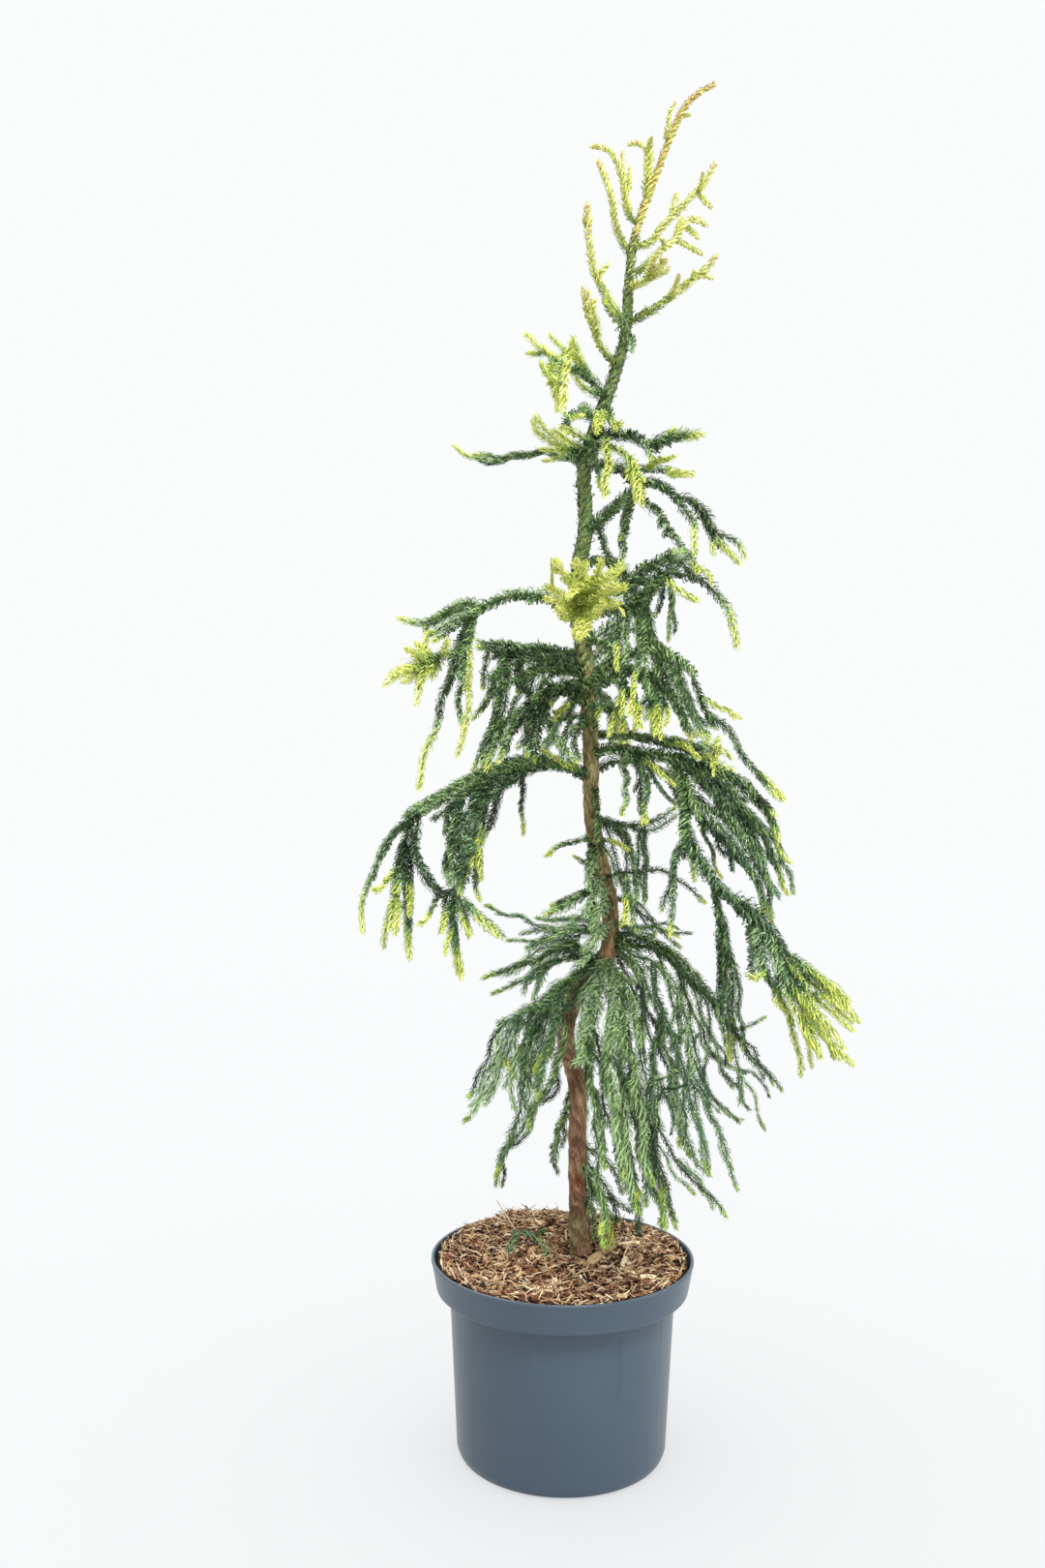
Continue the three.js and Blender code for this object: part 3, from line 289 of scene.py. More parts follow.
    'R3g': ('R3b', .095, 65, (8, -6, -81), (-48, -28, -66), 4.92, .97, 'd', 'right_band_drop'),
    'R3h': ('R3', .42, 71, (3, 37), (48, 34), 4.92, 2, 'd', 'right_band'),
    'L2x': ('trunk', .495, 113, (10, 8, -23), (108, 126, 124), 5.33, 2, 'd', 'left_mid_arm'),
    'L1m': ('L1g', .28, 36, (-67, 25), (-137, -173), 4.1, .2, 'd', 'left_high_gold'),
    'L1n': ('L1g', .465, 42, (-12, -17), (-118, -128), 4.1, .2, 'd', 'left_high_gold'),
    'D10': ('D0', .965, 108, (-48, -54), (-70, -41), 4.51, .92, 'd', 'right_mid_veil'),
    'D11': ('D0', 1, 87, (-75, -55), (-63, -9), 4.51, .95, 'd', 'right_mid_veil'),
    'D12': ('R4', .82, 77, (-52, -58), (75, 32), 4.51, .9, 'd', 'right_mid_veil'),
    'L3f': ('trunk', .48, 64, (13, 7, -64), (-113, -134, -108), 4.1, .97, 'd', 'left_mid_clump'),
    'L3g': ('trunk', .46, 50, (-12, -54, -60), (-125, -129, -21), 4.1, .97, 'd', 'left_mid_clump'),
    'Fh': ('R5', .525, 136, (-29, -44), (48, 29), 4.51, .97, 'd', 'right_low_fan_back'),
    'K9': ('K3', .17, 52, (-49, -76), (-52, -53), 4.1, .97, 'd', 'centre_front_drop'),
    'J6': ('trunk', .28, 63, (31, -19), (138, 166), 3.28, .95, 'l', 'skirt_left_thin'),
    'J7': ('trunk', .275, 57, (28, -11), (-134, -160), 3.28, .95, 'l', 'skirt_left_thin'),
    'M6': ('M2', .26, 58, (18, -25), (133, 159), 3.28, .95, 'l', 'skirt_left_thin'),
    'J8': ('trunk', .29, 47, (-7, -16), (-54, -28), 4.1, .97, 'd', 'centre_arm_low_back'),
    'P10': ('trunk', .255, 110, (-8, -50), (-63, -92), 4.92, 2, 'l', 'skirt_front'),
    'N1c': ('N1', .325, 121, (-26, -51), (-113, -101), 4.51, .97, 'l', 'skirt_left_inner'),
    'N1d': ('N1', .445, 73, (-51, -74), (-149, -141), 4.51, .97, 'l', 'skirt_left_inner'),
    'N1e': ('N1', .91, 73, (-77, -70), (165, 178), 4.1, .97, 'l', 'skirt_left_outer'),
    'P7': ('P2', .68, 143, (-63, -74), (-80, -73), 4.51, .97, 'l', 'skirt_front_long'),
    'P8': ('P2', .78, 122, (-29, -62, -57, -63), (-116, -80, -78, -81), 4.51, .97, 'l', 'skirt_front_long'),
    'P9': ('trunk', .07, 110, (-36, -53), (61, 56), 4.1, 2, 'm', 'skirt_foot'),
    'P11': ('trunk', .075, 66, (-10, -70), (-50, -76), 4.1, .97, 'm', 'skirt_foot'),
    'Q13': ('Q3', .34, 145, (-58, -72), (-82, -64), 4.51, .97, 'l', 'skirt_right_front'),
    'Q14': ('Q3', .73, 113, (-48, -85, -67, -80, -74), (-224, -15, -5, -21, -11), 4.1, .97, 'l', 'skirt_right_mid_low'),
    'Q15': ('Q2', .71, 105, (-65, -68), (-25, -17), 4.1, .97, 'l', 'skirt_right_back_arm'),
    'Q16': ('Q2', .41, 132, (-39, -60), (71, 65), 4.1, 2, 'm', 'skirt_right_back'),
    'F9': ('F1', .18, 52, (-23, -65), (-23, -20), 3.28, .1, 'd', 'right_gold_fan'),
    'F10': ('F3', .51, 42, (-48, -62), (-43, -25), 3.28, .1, 'd', 'right_gold_fan'),
    'R6e': ('R6b', .575, 75, (-24, -57), (33, 28), 4.92, .9, 'd', 'right_low_arm'),
    'X1': ('trunk', .59, 168, (1, 13, -27, -31, -42), (76, 57, 61, 71, 80), 4.51, .9, 'd', 'back_high'),
    'X2': ('trunk', .595, 175, (-9, -36, -38), (86, 87, 74), 4.51, .8, 'd', 'back_high'),
    'X3': ('trunk', .69, 108, (-6, -21), (84, 78), 4.1, .7, 'd', 'back_high_b'),
    'X4': ('trunk', .505, 205, (5, 10, -32, -37, -42), (96, 127, 116, 110, 113), 4.51, .9, 'd', 'back_mid'),
    'X5': ('trunk', .495, 219, (16, -15, -45), (65, 50, 67), 4.92, .85, 'd', 'back_mid'),
    'X6': ('trunk', .48, 172, (7, -20, -34), (77, 67, 86), 4.92, .8, 'd', 'back_mid'),
    'X7': ('trunk', .485, 172, (-6, -38), (102, 104), 4.92, .9, 'd', 'back_mid'),
    'X8': ('trunk', .41, 261, (28, -11, -54, -49), (68, 40, 71, 67), 4.92, .9, 'd', 'back_low'),
    'X9': ('trunk', .375, 180, (4, -22, -41, -43), (72, 59, 79, 82), 4.51, .9, 'd', 'back_low'),
    'X10': ('trunk', .41, 234, (21, -8, -53, -59), (114, 146, 120, 101), 4.92, .85, 'd', 'back_low'),
    'X11': ('trunk', .25, 240, (-24, -50, -56), (119, 107, 101), 4.51, .97, 'l', 'skirt_back_left'),
    'X12': ('trunk', .25, 258, (-45, -66), (99, 83), 4.51, .97, 'l', 'skirt_back_left'),
    'X13': ('trunk', .265, 273, (-44, -68), (73, 77), 4.51, .97, 'l', 'skirt_back'),
    'X14': ('trunk', .265, 303, (-29, -55, -58), (58, 64, 67), 4.51, .97, 'l', 'skirt_back'),
    'zA1': ('c2', 0.455, 92, (-32, -44), (-97, -89), 3.69, 0.05, 'd', 'high_left'),
    'zA2': ('c2', 0.585, 82, (-35, -48), (-98, -75), 3.69, 0.1, 'd', 'high_left'),
    'zA4': ('c3', 1, 18, (-59, 34), (-37, -4), 3.69, 0.2, 'd', 'high_left'),
    'zA5': ('trunk', 0.71, 48, (-15, 22, -64), (-110, -124, -80), 4.51, 0.95, 'd', 'high_arms'),
    'zA6': ('trunk', 0.68, 59, (3, 10), (-111, -128), 3.69, 0.4, 'd', 'high_left'),
    'zA7': ('trunk', 0.68, 54, (-2, -6), (-128, -147), 3.28, 0.4, 'd', 'high_left'),
    'zA8': ('trunk', 0.675, 38, (16, -14), (151, 167), 3.28, 0.5, 'd', 'high_left'),
    'zA9': ('R2', 0.595, 43, (30, -6), (-106, -141), 4.92, 0.95, 'd', 'right_high_inner'),
    'zA10': ('trunk', 0.615, 54, (5, 54, 20), (-40, -25, -22), 6.15, 2, 'd', 'right_high_inner'),
    'zA11': ('R1g', 0.465, 45, (-49, -70), (-62, -85), 4.1, 0.1, 'd', 'high_right'),
    'zA12': ('R1g', 0.59, 28, (-71, -76), (-12, -3), 3.69, 0.1, 'd', 'high_right'),
    'zA13': ('R1b', 0.585, 78, (-3, -6), (-90, -73), 3.28, 0.1, 'd', 'high_right'),
    'zA14': ('R1b', 0.78, 68, (-18, -6), (-87, -78), 3.69, 0.05, 'd', 'high_right'),
    'zA16': ('R2', 0.645, 26, (34, -48), (19, 3), 4.92, 2, 'd', 'right_high_inner'),
    'zA18': ('R2', 0.52, 78, (-30, -45), (-88, -113), 4.92, 0.95, 'd', 'right_high_inner'),
    'zA19': ('trunk', 0.785, 50, (8, 26), (-107, -117), 5.33, 0.5, 'm', 'high_left'),
    'zA20': ('a7', 0.455, 38, (23, 42), (-89, -119), 4.1, 0.1, 'd', 'shoulder_left'),
    'zA21': ('trunk', 0.78, 33, (-9, -60), (-55, -113), 3.69, 2, 'd', 'high_arms'),
    'zA22': ('c1', 0.3, 28, (33, 62), (-154, -157), 4.92, 2, 'd', 'high_arms'),
    'zA23': ('trunk', 0.675, 50, (-23, 41), (-63, -121), 4.92, 2, 'd', 'high_arms'),
    'zB1': ('L1', 0.965, 53, (-17, -30), (-130, -147), 4.51, 0.95, 'd', 'left_high_arm'),
    'zB2': ('L1', 0.935, 87, (9, -14), (108, 128), 4.1, 0.95, 'd', 'left_high_arm'),
    'zB4': ('L1', 1, 76, (-37, -57), (-102, -99), 4.92, 2, 'd', 'left_high_drop'),
    'zB5': ('L1', 1, 73, (-44, -75), (136, 120), 4.51, 2, 'd', 'left_high_drop'),
    'zB8': ('L1g', 0.355, 14, (8, 41), (-147, -186), 3.69, 0, 'd', 'left_high_gold'),
    'zB9': ('L1g', 0.39, 40, (-29, -18), (104, 159), 3.69, 0, 'd', 'left_high_gold'),
    'zB10': ('L1g', 0.47, 19, (-53, -71), (-110, -98), 3.69, 0, 'd', 'left_high_gold'),
    'zB11': ('L1g', 0.28, 17, (-74, -60), (132, 171), 3.69, 0, 'd', 'left_high_gold'),
    'zB12': ('L1g', 0.395, 43, (19, 23), (101, 119), 3.69, 0, 'd', 'left_high_gold'),
    'zB13': ('trunk', 0.5, 98, (21, -33), (-145, -158), 6.15, 2, 'd', 'left_mid_arm'),
    'zB14': ('trunk', 0.495, 78, (13, -28), (-151, -163), 5.74, 2, 'd', 'left_mid_arm'),
    'zB15': ('trunk', 0.51, 109, (14, -1), (132, 156), 5.74, 0.97, 'd', 'left_mid_arm'),
    'zB17': ('trunk', 0.49, 112, (10, -56, -65), (-148, -133, -104), 5.33, 2, 'd', 'left_mid_drop'),
    'zB18': ('zB14', 0.885, 42, (-19, -49), (-54, -53), 3.28, 2, 'd', 'left_mid_drop'),
    'zB20': ('trunk', 0.47, 58, (19, -45), (-126, -123), 3.28, 0.6, 'm', 'left_mid_front'),
    'zB21': ('trunk', 0.455, 68, (6, -54), (-123, -107), 3.69, 2, 'm', 'left_mid_front'),
    'zB22': ('zB13', 0.88, 78, (-68, -68), (-81, -158), 4.1, 0.97, 'd', 'left_mid_drop'),
    'zB23': ('zB17', 0.335, 54, (37, -73), (-114, -110), 4.1, 2, 'd', 'left_mid_drop'),
    'zG1': ('G1', 0.34, 102, (-10, 4), (-103, -111), 3.69, 0, 'd', 'front_gold'),
    'zG2': ('G1', 0.17, 116, (-15, 4), (-97, -105), 3.69, 0, 'd', 'front_gold'),
    'zG3': ('G1', 0.335, 113, (-14, -20), (-95, -94), 3.69, 0, 'd', 'front_gold'),
    'zG4': ('G1', 0.68, 63, (-6, 4), (-73, -60), 3.69, 0, 'd', 'front_gold'),
    'zG5': ('G1', 0.71, 66, (3, 21), (-100, -92), 3.69, 0, 'd', 'front_gold'),
    'zG6': ('G1', 0.83, 43, (12, 31), (-80, -82), 3.69, 0, 'd', 'front_gold'),
    'zG7': ('G5', 0.735, 35, (-20, 73, 45), (-123, -99, -92), 2.46, 0, 'd', 'front_gold'),
    'zG8': ('G1', 0.57, 78, (-15, -1), (-81, -71), 3.69, 0, 'd', 'front_gold'),
    'zC1': ('R3', 0.33, 73, (-53, 60, 25, 24), (-67, -25, -31, -19), 6.15, 0.97, 'd', 'right_band'),
    'zC7': ('trunk', 0.52, 85, (23, 46), (-37, -23), 6.56, 2, 'd', 'right_band_low'),
    'zC2': ('zC7', 0.535, 60, (26, 25), (-69, -41), 5.74, 2, 'd', 'right_band_low'),
    'zC3': ('zC1', 0.88, 49, (7, -35), (54, 49), 5.33, 2, 'd', 'right_band'),
    'zC4': ('zC7', 0.885, 48, (-48, -70), (-118, -98), 4.1, 2, 'd', 'right_band_drop'),
    'zC8': ('zC7', 0.565, 64, (-50, -67), (-99, -94), 4.92, 2, 'd', 'right_band_drop'),
    'zC9': ('zC7', 0.66, 97, (-43, -60), (-85, -79), 5.33, 2, 'm', 'inner_right_front'),
    'zC10': ('zC7', 0.765, 91, (-72, -79), (-52, -39), 4.92, 2, 'm', 'inner_right_front'),
    'zC11': ('zC7', 0.46, 58, (-41, -52), (-102, -124), 4.51, 2, 'd', 'right_band_drop'),
    'zC12': ('zC7', 0.38, 90, (-21, -33), (-87, -96), 3.28, 0.45, 'd', 'right_gold_drop'),
    'zC13': ('zC9', 0.505, 78, (-31, -52), (-104, -102), 3.07, 0.35, 'd', 'right_gold_drop'),
    'zC14': ('zC8', 0.84, 67, (-28, -43), (-95, -97), 2.87, 0.5, 'd', 'right_gold_drop'),
    'zC15': ('zC10', 0.85, 72, (-21, -35), (-101, -97), 3.28, 0.35, 'd', 'right_gold_drop'),
    'zC16': ('zC10', 0.91, 48, (-19, -37), (-70, -114), 3.07, 0.4, 'd', 'right_gold_drop'),
    'zC17': ('zC8', 0.975, 56, (-47, -60), (-104, -125), 3.07, 0.6, 'd', 'right_gold_drop'),
    'zC18': ('zC9', 0.93, 35, (-46, -71), (-134, -126), 2.87, 0.5, 'd', 'right_gold_drop'),
    'zC19': ('zC10', 0.76, 45, (-40, -72), (-31, -35), 4.92, 2, 'd', 'inner_right_front'),
    'zC20': ('trunk', 0.52, 50, (21, -62), (-46, -71), 4.1, 2, 'd', 'right_band_drop'),
    'zD1': ('trunk', 0.375, 79, (-2, -13, 51), (-38, -23, -27), 4.51, 0.97, 'd', 'centre_arm'),
    'zD2': ('K3', 0.515, 77, (-39, -63), (-60, -113), 4.51, 2, 'd', 'centre_front_drop'),
    'zD3': ('K3', 0.335, 99, (-22, -49), (-69, -97), 4.51, 0.97, 'd', 'centre_front_drop'),
    'zD4': ('trunk', 0.36, 50, (-23, -78), (-43, -79), 4.51, 2, 'd', 'centre_front_drop'),
    'zD5': ('trunk', 0.355, 50, (23, -25), (-64, -56), 3.69, 0.35, 'd', 'centre_front_drop'),
    'zD6': ('R5', 0.245, 56, (-47, -80), (-33, -115), 4.92, 2, 'd', 'right_low_front'),
    'zD7': ('R5', 0.285, 70, (-12, -31), (-75, -57), 3.69, 0.3, 'd', 'right_low_front'),
    'zD8': ('K5', 0.265, 55, (-36, -54), (-75, -123), 3.69, 0.3, 'd', 'centre_front_drop'),
    'zD9': ('K5', 0.28, 48, (-74, -80), (-49, -35), 3.69, 0.97, 'd', 'centre_front_drop'),
    'zD10': ('trunk', 0.29, 61, (-35, 17, -36), (-32, -16, -20), 3.69, 0.85, 'm', 'centre_arm_low_back'),
    'zD11': ('trunk', 0.32, 68, (-14, -23), (-136, -153), 4.92, 2, 'l', 'trunk_left_sprays'),
    'zD12': ('trunk', 0.3, 69, (12, -29, 1), (-141, -149, -154), 4.92, 2, 'l', 'trunk_left_sprays'),
    'zD13': ('trunk', 0.33, 67, (-16, -36), (-106, -106), 4.92, 2, 'l', 'trunk_front_sprays'),
    'zD14': ('trunk', 0.32, 66, (-18, -31), (-98, -113), 4.51, 2, 'l', 'trunk_front_sprays'),
    'zD15': ('trunk', 0.305, 71, (-12, -42), (-113, -110), 4.92, 2, 'l', 'trunk_front_sprays'),
    'zD16': ('trunk', 0.29, 73, (-8, -34), (-105, -123), 4.92, 2, 'l', 'trunk_front_sprays'),
    'zD17': ('trunk', 0.285, 80, (-3, -41), (-151, -160), 4.51, 2, 'l', 'skirt_left_thin'),
    'zD18': ('trunk', 0.28, 51, (-1, -63), (-41, -53), 4.51, 2, 'm', 'skirt_right_back_arm'),
    'zD19': ('trunk', 0.28, 75, (9, -50), (-21, -14), 4.51, 2, 'm', 'skirt_right_back_arm'),
    'zD20': ('trunk', 0.275, 62, (5, -57), (-61, -75), 4.51, 2, 'm', 'skirt_right_back_arm'),
    'zD21': ('trunk', 0.35, 55, (-18, -40), (-106, -95), 4.1, 2, 'l', 'trunk_front_sprays'),
    'zE1': ('trunk', 0.26, 103, (-7, -59, -56, -66), (-123, -125, -105, -89), 4.92, 2, 'l', 'skirt_front'),
    'zE2': ('trunk', 0.255, 87, (-33, -54), (-99, -106), 4.92, 2, 'l', 'skirt_front'),
    'zE3': ('trunk', 0.25, 114, (-19, -63, -57, -65), (-50, -103, -105, -75), 4.92, 2, 'l', 'skirt_front'),
    'zE4': ('trunk', 0.255, 138, (-45, -75, -66), (-35, -83, -50), 4.92, 2, 'l', 'skirt_front_long'),
    'zE5': ('P2', 0.595, 109, (-73, -85), (45, 90), 4.51, 2, 'l', 'skirt_front_long'),
    'zE6': ('P1', 0.62, 136, (-69, -82), (26, 28), 4.51, 0.97, 'l', 'skirt_front_low'),
    'zE7': ('P2', 0.975, 154, (-53, -77), (54, 64), 4.51, 0.97, 'l', 'skirt_front_low'),
    'zE8': ('P3', 0.435, 132, (-65, -77), (48, 41), 4.51, 0.85, 'l', 'skirt_front_low'),
    'zE9': ('P1', 0.795, 166, (-44, -77, -64, -68), (36, 65, 33, 35), 4.51, 0.97, 'l', 'skirt_front_low'),
    'zE10': ('P5', 0.675, 116, (-41, -63), (74, 71), 4.51, 2, 'l', 'skirt_front_low'),
    'zE11': ('trunk', 0.165, 108, (24, -85, -68, -77, -75), (15, 41, 37, 40, 44), 4.1, 2, 'd', 'skirt_back'),
    'zE12': ('trunk', 0.09, 61, (-16, -79), (7, 8), 4.51, 2, 'm', 'skirt_foot'),
    'zE13': ('trunk', 0.06, 52, (-56, -90), (-5, -13), 4.51, 2, 'm', 'skirt_foot'),
    'zE14': ('trunk', 0.065, 67, (-25, -90), (-22, -68), 4.51, 0.35, 'l', 'skirt_foot'),
    'zE15': ('trunk', 0.055, 57, (-19, -37), (26, 16), 4.51, 2, 'm', 'skirt_foot'),
    'zE16': ('trunk', 0.085, 78, (-45, -72), (22, 22), 4.51, 2, 'm', 'skirt_foot'),
    'zE17': ('trunk', 0.25, 87, (-29, -55), (-112, -96), 4.92, 2, 'l', 'skirt_front'),
    'zE18': ('trunk', 0.26, 70, (-23, -53), (-66, -76), 4.51, 2, 'l', 'skirt_front'),
    'zE19': ('P10', 0.425, 109, (-71, -85), (20, 28), 4.51, 2, 'l', 'skirt_front_long'),
    'zE20': ('P3', 0.335, 111, (-57, -72), (66, 60), 4.51, 2, 'l', 'skirt_front_long'),
    'zE21': ('P8', 0.48, 130, (-39, -65), (74, 76), 4.1, 2, 'l', 'skirt_front_low'),
    'zE22': ('P3', 0.675, 152, (-42, -59), (79, 66), 4.1, 0.9, 'l', 'skirt_front_low'),
    'zF1': ('L4', 0.275, 112, (-14, -31), (-154, -167), 5.74, 2, 'd', 'left_low_drop'),
    'zF2': ('L4', 0.5, 97, (-45, -58, -76, -65), (-123, -154, -95, -147), 5.74, 2, 'd', 'left_low_drop'),
    'zF3': ('L4', 0.565, 82, (-112, -73), (75, -86), 4.1, 0.6, 'd', 'left_low_drop'),
    'zF4': ('L4', 0.665, 97, (-39, -68), (-117, -78), 5.33, 2, 'd', 'left_low_drop'),
    'zF5': ('zF4', 0.57, 53, (-59, -115), (-7, 7), 4.92, 2, 'd', 'left_low_drop'),
    'zF6': ('zF3', 0.62, 39, (-41, -60), (-102, -112), 3.28, 0.05, 'd', 'left_low_drop'),
    'zF7': ('zF2', 0.88, 42, (-49, -54), (-92, -140), 4.92, 2, 'd', 'left_low_drop'),
    'zF8': ('zF7', 0.915, 57, (-91, -77), (-81, 11), 4.92, 0.6, 'd', 'left_low_inner'),
    'zF9': ('zF7', 0.775, 33, (-83, -51), (-50, 1), 4.1, 0.2, 'd', 'left_low_inner'),
    'zF10': ('zF7', 0.83, 47, (-32, -45), (-26, -16), 4.92, 0.35, 'd', 'left_low_inner'),
    'zF11': ('L4t', 0.155, 85, (-40, -66), (-91, -107), 4.51, 0.5, 'd', 'left_low_outer'),
    'zF12': ('L4t', 0.185, 87, (-79, -85), (-67, -62), 4.1, 0.62, 'd', 'left_low_outer'),
    'zF13': ('L4', 1, 74, (-59, -43), (-81, -23), 4.92, 2, 'd', 'left_low_inner'),
    'zF14': ('L4', 0.975, 59, (-15, -46), (-117, -116), 4.1, 2, 'd', 'left_low_outer'),
    'zF15': ('zF11', 0.65, 44, (-25, -46), (-71, -102), 3.69, 0.2, 'd', 'left_low_outer'),
    'zF16': ('zF12', 0.305, 40, (-32, -58), (-65, -95), 3.69, 0.2, 'd', 'left_low_outer'),
    'zF17': ('zF4', 0.235, 66, (-5, -34), (-106, -88), 3.28, 2, 'd', 'left_low_drop'),
    'zF18': ('zF8', 0.32, 30, (-31, -56), (-105, -102), 3.28, 0.2, 'd', 'left_low_inner'),
    'zF19': ('zF7', 0.95, 30, (-27, -59), (-117, -97), 3.69, 0.3, 'd', 'left_low_inner'),
    'zF20': ('L4', 0.35, 55, (-32, -43), (-131, -154), 5.33, 2, 'd', 'left_low_drop'),
    'zH1': ('R5', 0.495, 115, (-7, -67), (-14, -14), 4.92, 0.88, 'd', 'right_mid_tips'),
    'zH2': ('R5', 0.53, 138, (-42, -61), (-31, -24), 5.33, 2, 'd', 'right_low_fan'),
    'zH3': ('R5', 0.6, 102, (-44, -61), (-9, -6), 5.33, 2, 'd', 'right_low_fan'),
    'zH4': ('R6', 0.51, 122, (-36, -73), (-6, -7), 5.33, 0.97, 'd', 'right_low_fan'),
    'zH5': ('R6', 0.6, 104, (-39, -45), (36, 19), 4.92, 2, 'd', 'right_low_fan'),
    'zH6': ('R5', 0.725, 127, (-30, -68), (32, 35), 4.51, 0.9, 'd', 'right_low_fan_back'),
    'zH7': ('R5', 0.525, 83, (-68, -81), (-51, -110), 5.33, 2, 'd', 'right_low_drop'),
    'zH8': ('R6', 0.84, 132, (-76, -43, -57), (9, 2, 3), 5.74, 2, 'd', 'right_low_arm'),
    'zH9': ('zH8', 0.535, 76, (-20, -73), (12, 15), 5.74, 2, 'd', 'right_low_arm'),
    'zH10': ('zH8', 0.715, 47, (-63, -79), (-36, -31), 6.15, 2, 'd', 'right_low_arm'),
    'zH11': ('zH8', 0.86, 52, (-50, -72), (-55, -39), 6.15, 2, 'd', 'right_low_arm'),
    'zH12': ('zH9', 0.7, 51, (-67, -63), (-29, -11), 5.74, 2, 'd', 'right_low_arm'),
    'zH13': ('zH11', 0.49, 68, (-45, -50), (-49, -25), 4.1, 0.3, 'd', 'right_gold_fan'),
    'zH14': ('zH11', 0.6, 72, (-50, -77), (-27, -34), 4.1, 0.35, 'd', 'right_gold_fan'),
    'zH15': ('zH9', 0.905, 64, (-26, -47), (-12, -8), 4.1, 0.3, 'd', 'right_gold_fan'),
    'zH16': ('zH12', 0.37, 76, (-43, -43), (8, 4), 4.1, 0.3, 'd', 'right_gold_fan'),
    'zH17': ('zH12', 0.53, 82, (-35, -47), (-70, -47), 4.1, 0.35, 'd', 'right_gold_fan'),
    'zH18': ('R6b', 0.37, 110, (-72, -82), (61, 64), 4.1, 2, 'd', 'right_low_tail'),
    'zH19': ('H1', 0.26, 113, (-62, -86), (40, 97), 4.1, 0.75, 'd', 'right_low_tail'),
    'zH20': ('R5', 0.66, 56, (53, -62), (-70, -98), 2.46, 0.2, 'd', 'right_mid_arm'),
    'zH21': ('R5u', 0.86, 124, (25, -27), (-89, -106), 2.46, 0.2, 'd', 'right_mid_arm'),
    'zH22': ('R5u', 0.54, 117, (3, -15), (-84, -83), 2.87, 0.1, 'd', 'right_mid_arm'),
    'zH23': ('R4w', 0.755, 36, (-15, -51), (39, 27), 3.69, 0.05, 'd', 'right_mid_drop'),
    'zH24': ('zH8', 0.75, 64, (-35, -64), (89, 66), 4.92, 2, 'd', 'right_low_arm'),
    'zM1': ('M1', 0.215, 61, (56, -26), (-148, -168), 3.69, 2, 'l', 'skirt_left_thin'),
    'zM2': ('trunk', 0.255, 98, (41, -23, -20), (-168, -174, -173), 4.51, 2, 'l', 'skirt_left_thin_low'),
    'zM3': ('trunk', 0.255, 91, (38, -30, -19), (-151, -159, -160), 4.1, 2, 'l', 'skirt_left_thin_low'),
    'zM4': ('M2', 0.33, 62, (20, -50), (-145, -155), 3.69, 2, 'l', 'skirt_left_thin'),
    'zM5': ('M4', 0.385, 68, (8, -48), (-110, -106), 3.69, 2, 'l', 'skirt_left_thin_low'),
    'zM6': ('M4', 0.47, 61, (5, -37), (-121, -101), 3.69, 2, 'l', 'skirt_left_thin_low'),
    'zM7': ('trunk', 0.28, 82, (26, -44), (-153, -161), 3.69, 2, 'l', 'skirt_left_thin'),
    'zN1': ('N1', 0.19, 116, (-26, -58, -84), (-146, -162, -60), 4.92, 2, 'l', 'skirt_left_inner'),
    'zN2': ('N1', 0.33, 115, (-31, -70), (-156, -156), 4.51, 2, 'l', 'skirt_left_outer'),
    'zN3': ('N1', 0.565, 78, (-19, -78), (-163, -154), 4.51, 2, 'l', 'skirt_left_outer'),
    'zN4': ('N1', 0.66, 86, (-59, -60), (118, 152), 4.51, 2, 'l', 'skirt_left_outer'),
    'zN5': ('N1', 0.465, 101, (-69, -81), (173, 174), 4.51, 2, 'l', 'skirt_left_inner'),
    'zN6': ('trunk', 0.24, 112, (-30, -69), (-139, -124), 4.51, 2, 'l', 'skirt_left_inner'),
    'zN7': ('zN1', 0.785, 67, (-86, -68), (-121, -180), 4.51, 0.97, 'l', 'skirt_left_inner'),
    'zN8': ('zN6', 0.65, 50, (-3, -29), (-83, -129), 3.28, 0, 'l', 'skirt_left_inner'),
    'zN9': ('zN3', 0.82, 30, (-14, -45), (-62, -52), 3.28, 0.1, 'l', 'skirt_left_outer'),
    'zN10': ('zN4', 0.37, 72, (-27, -42), (100, 110), 3.69, 2, 'd', 'skirt_left_back'),
    'zN11': ('zN6', 0.415, 111, (-87, -59, -72), (-3, 196, 137), 4.1, 2, 'm', 'skirt_left_back'),
    'zN12': ('zN7', 0.76, 47, (-68, -60), (-124, -174), 2.87, 0.7, 'l', 'skirt_left_back'),
    'zN13': ('zN2', 0.92, 28, (-63, -33), (-167, -177), 3.28, 2, 'l', 'skirt_left_outer'),
    'zN14': ('N1', 0.475, 54, (-66, -74), (-93, -148), 4.51, 2, 'l', 'skirt_left_inner'),
    'zN15': ('trunk', 0.13, 61, (-50, -94), (173, 154), 4.51, 2, 'm', 'skirt_left_back'),
    'zN16': ('trunk', 0.245, 73, (9, -38, -18), (-138, -155, -153), 4.92, 2, 'l', 'skirt_left_inner'),
    'zQ1': ('trunk', 0.275, 123, (17, -40, -66), (-19, -16, -27), 4.92, 2, 'm', 'skirt_right_back_arm'),
    'zQ2': ('Q1', 0.38, 125, (-47, -88, -77), (11, 56, 145), 4.51, 2, 'm', 'skirt_right_mid_low'),
    'zQ3': ('trunk', 0.27, 105, (-20, -77, -39), (-1, -1, 0), 4.51, 2, 'm', 'skirt_back'),
    'zQ4': ('zQ2', 0.21, 58, (-83, -52), (-129, -182), 4.1, 2, 'm', 'skirt_back'),
    'zQ5': ('trunk', 0.255, 150, (-32, -80, -63), (-12, -29, -19), 4.51, 2, 'l', 'skirt_right_front'),
    'zQ6': ('Q1', 0.545, 81, (-43, -112), (12, -7), 3.69, 2, 'l', 'skirt_right_back'),
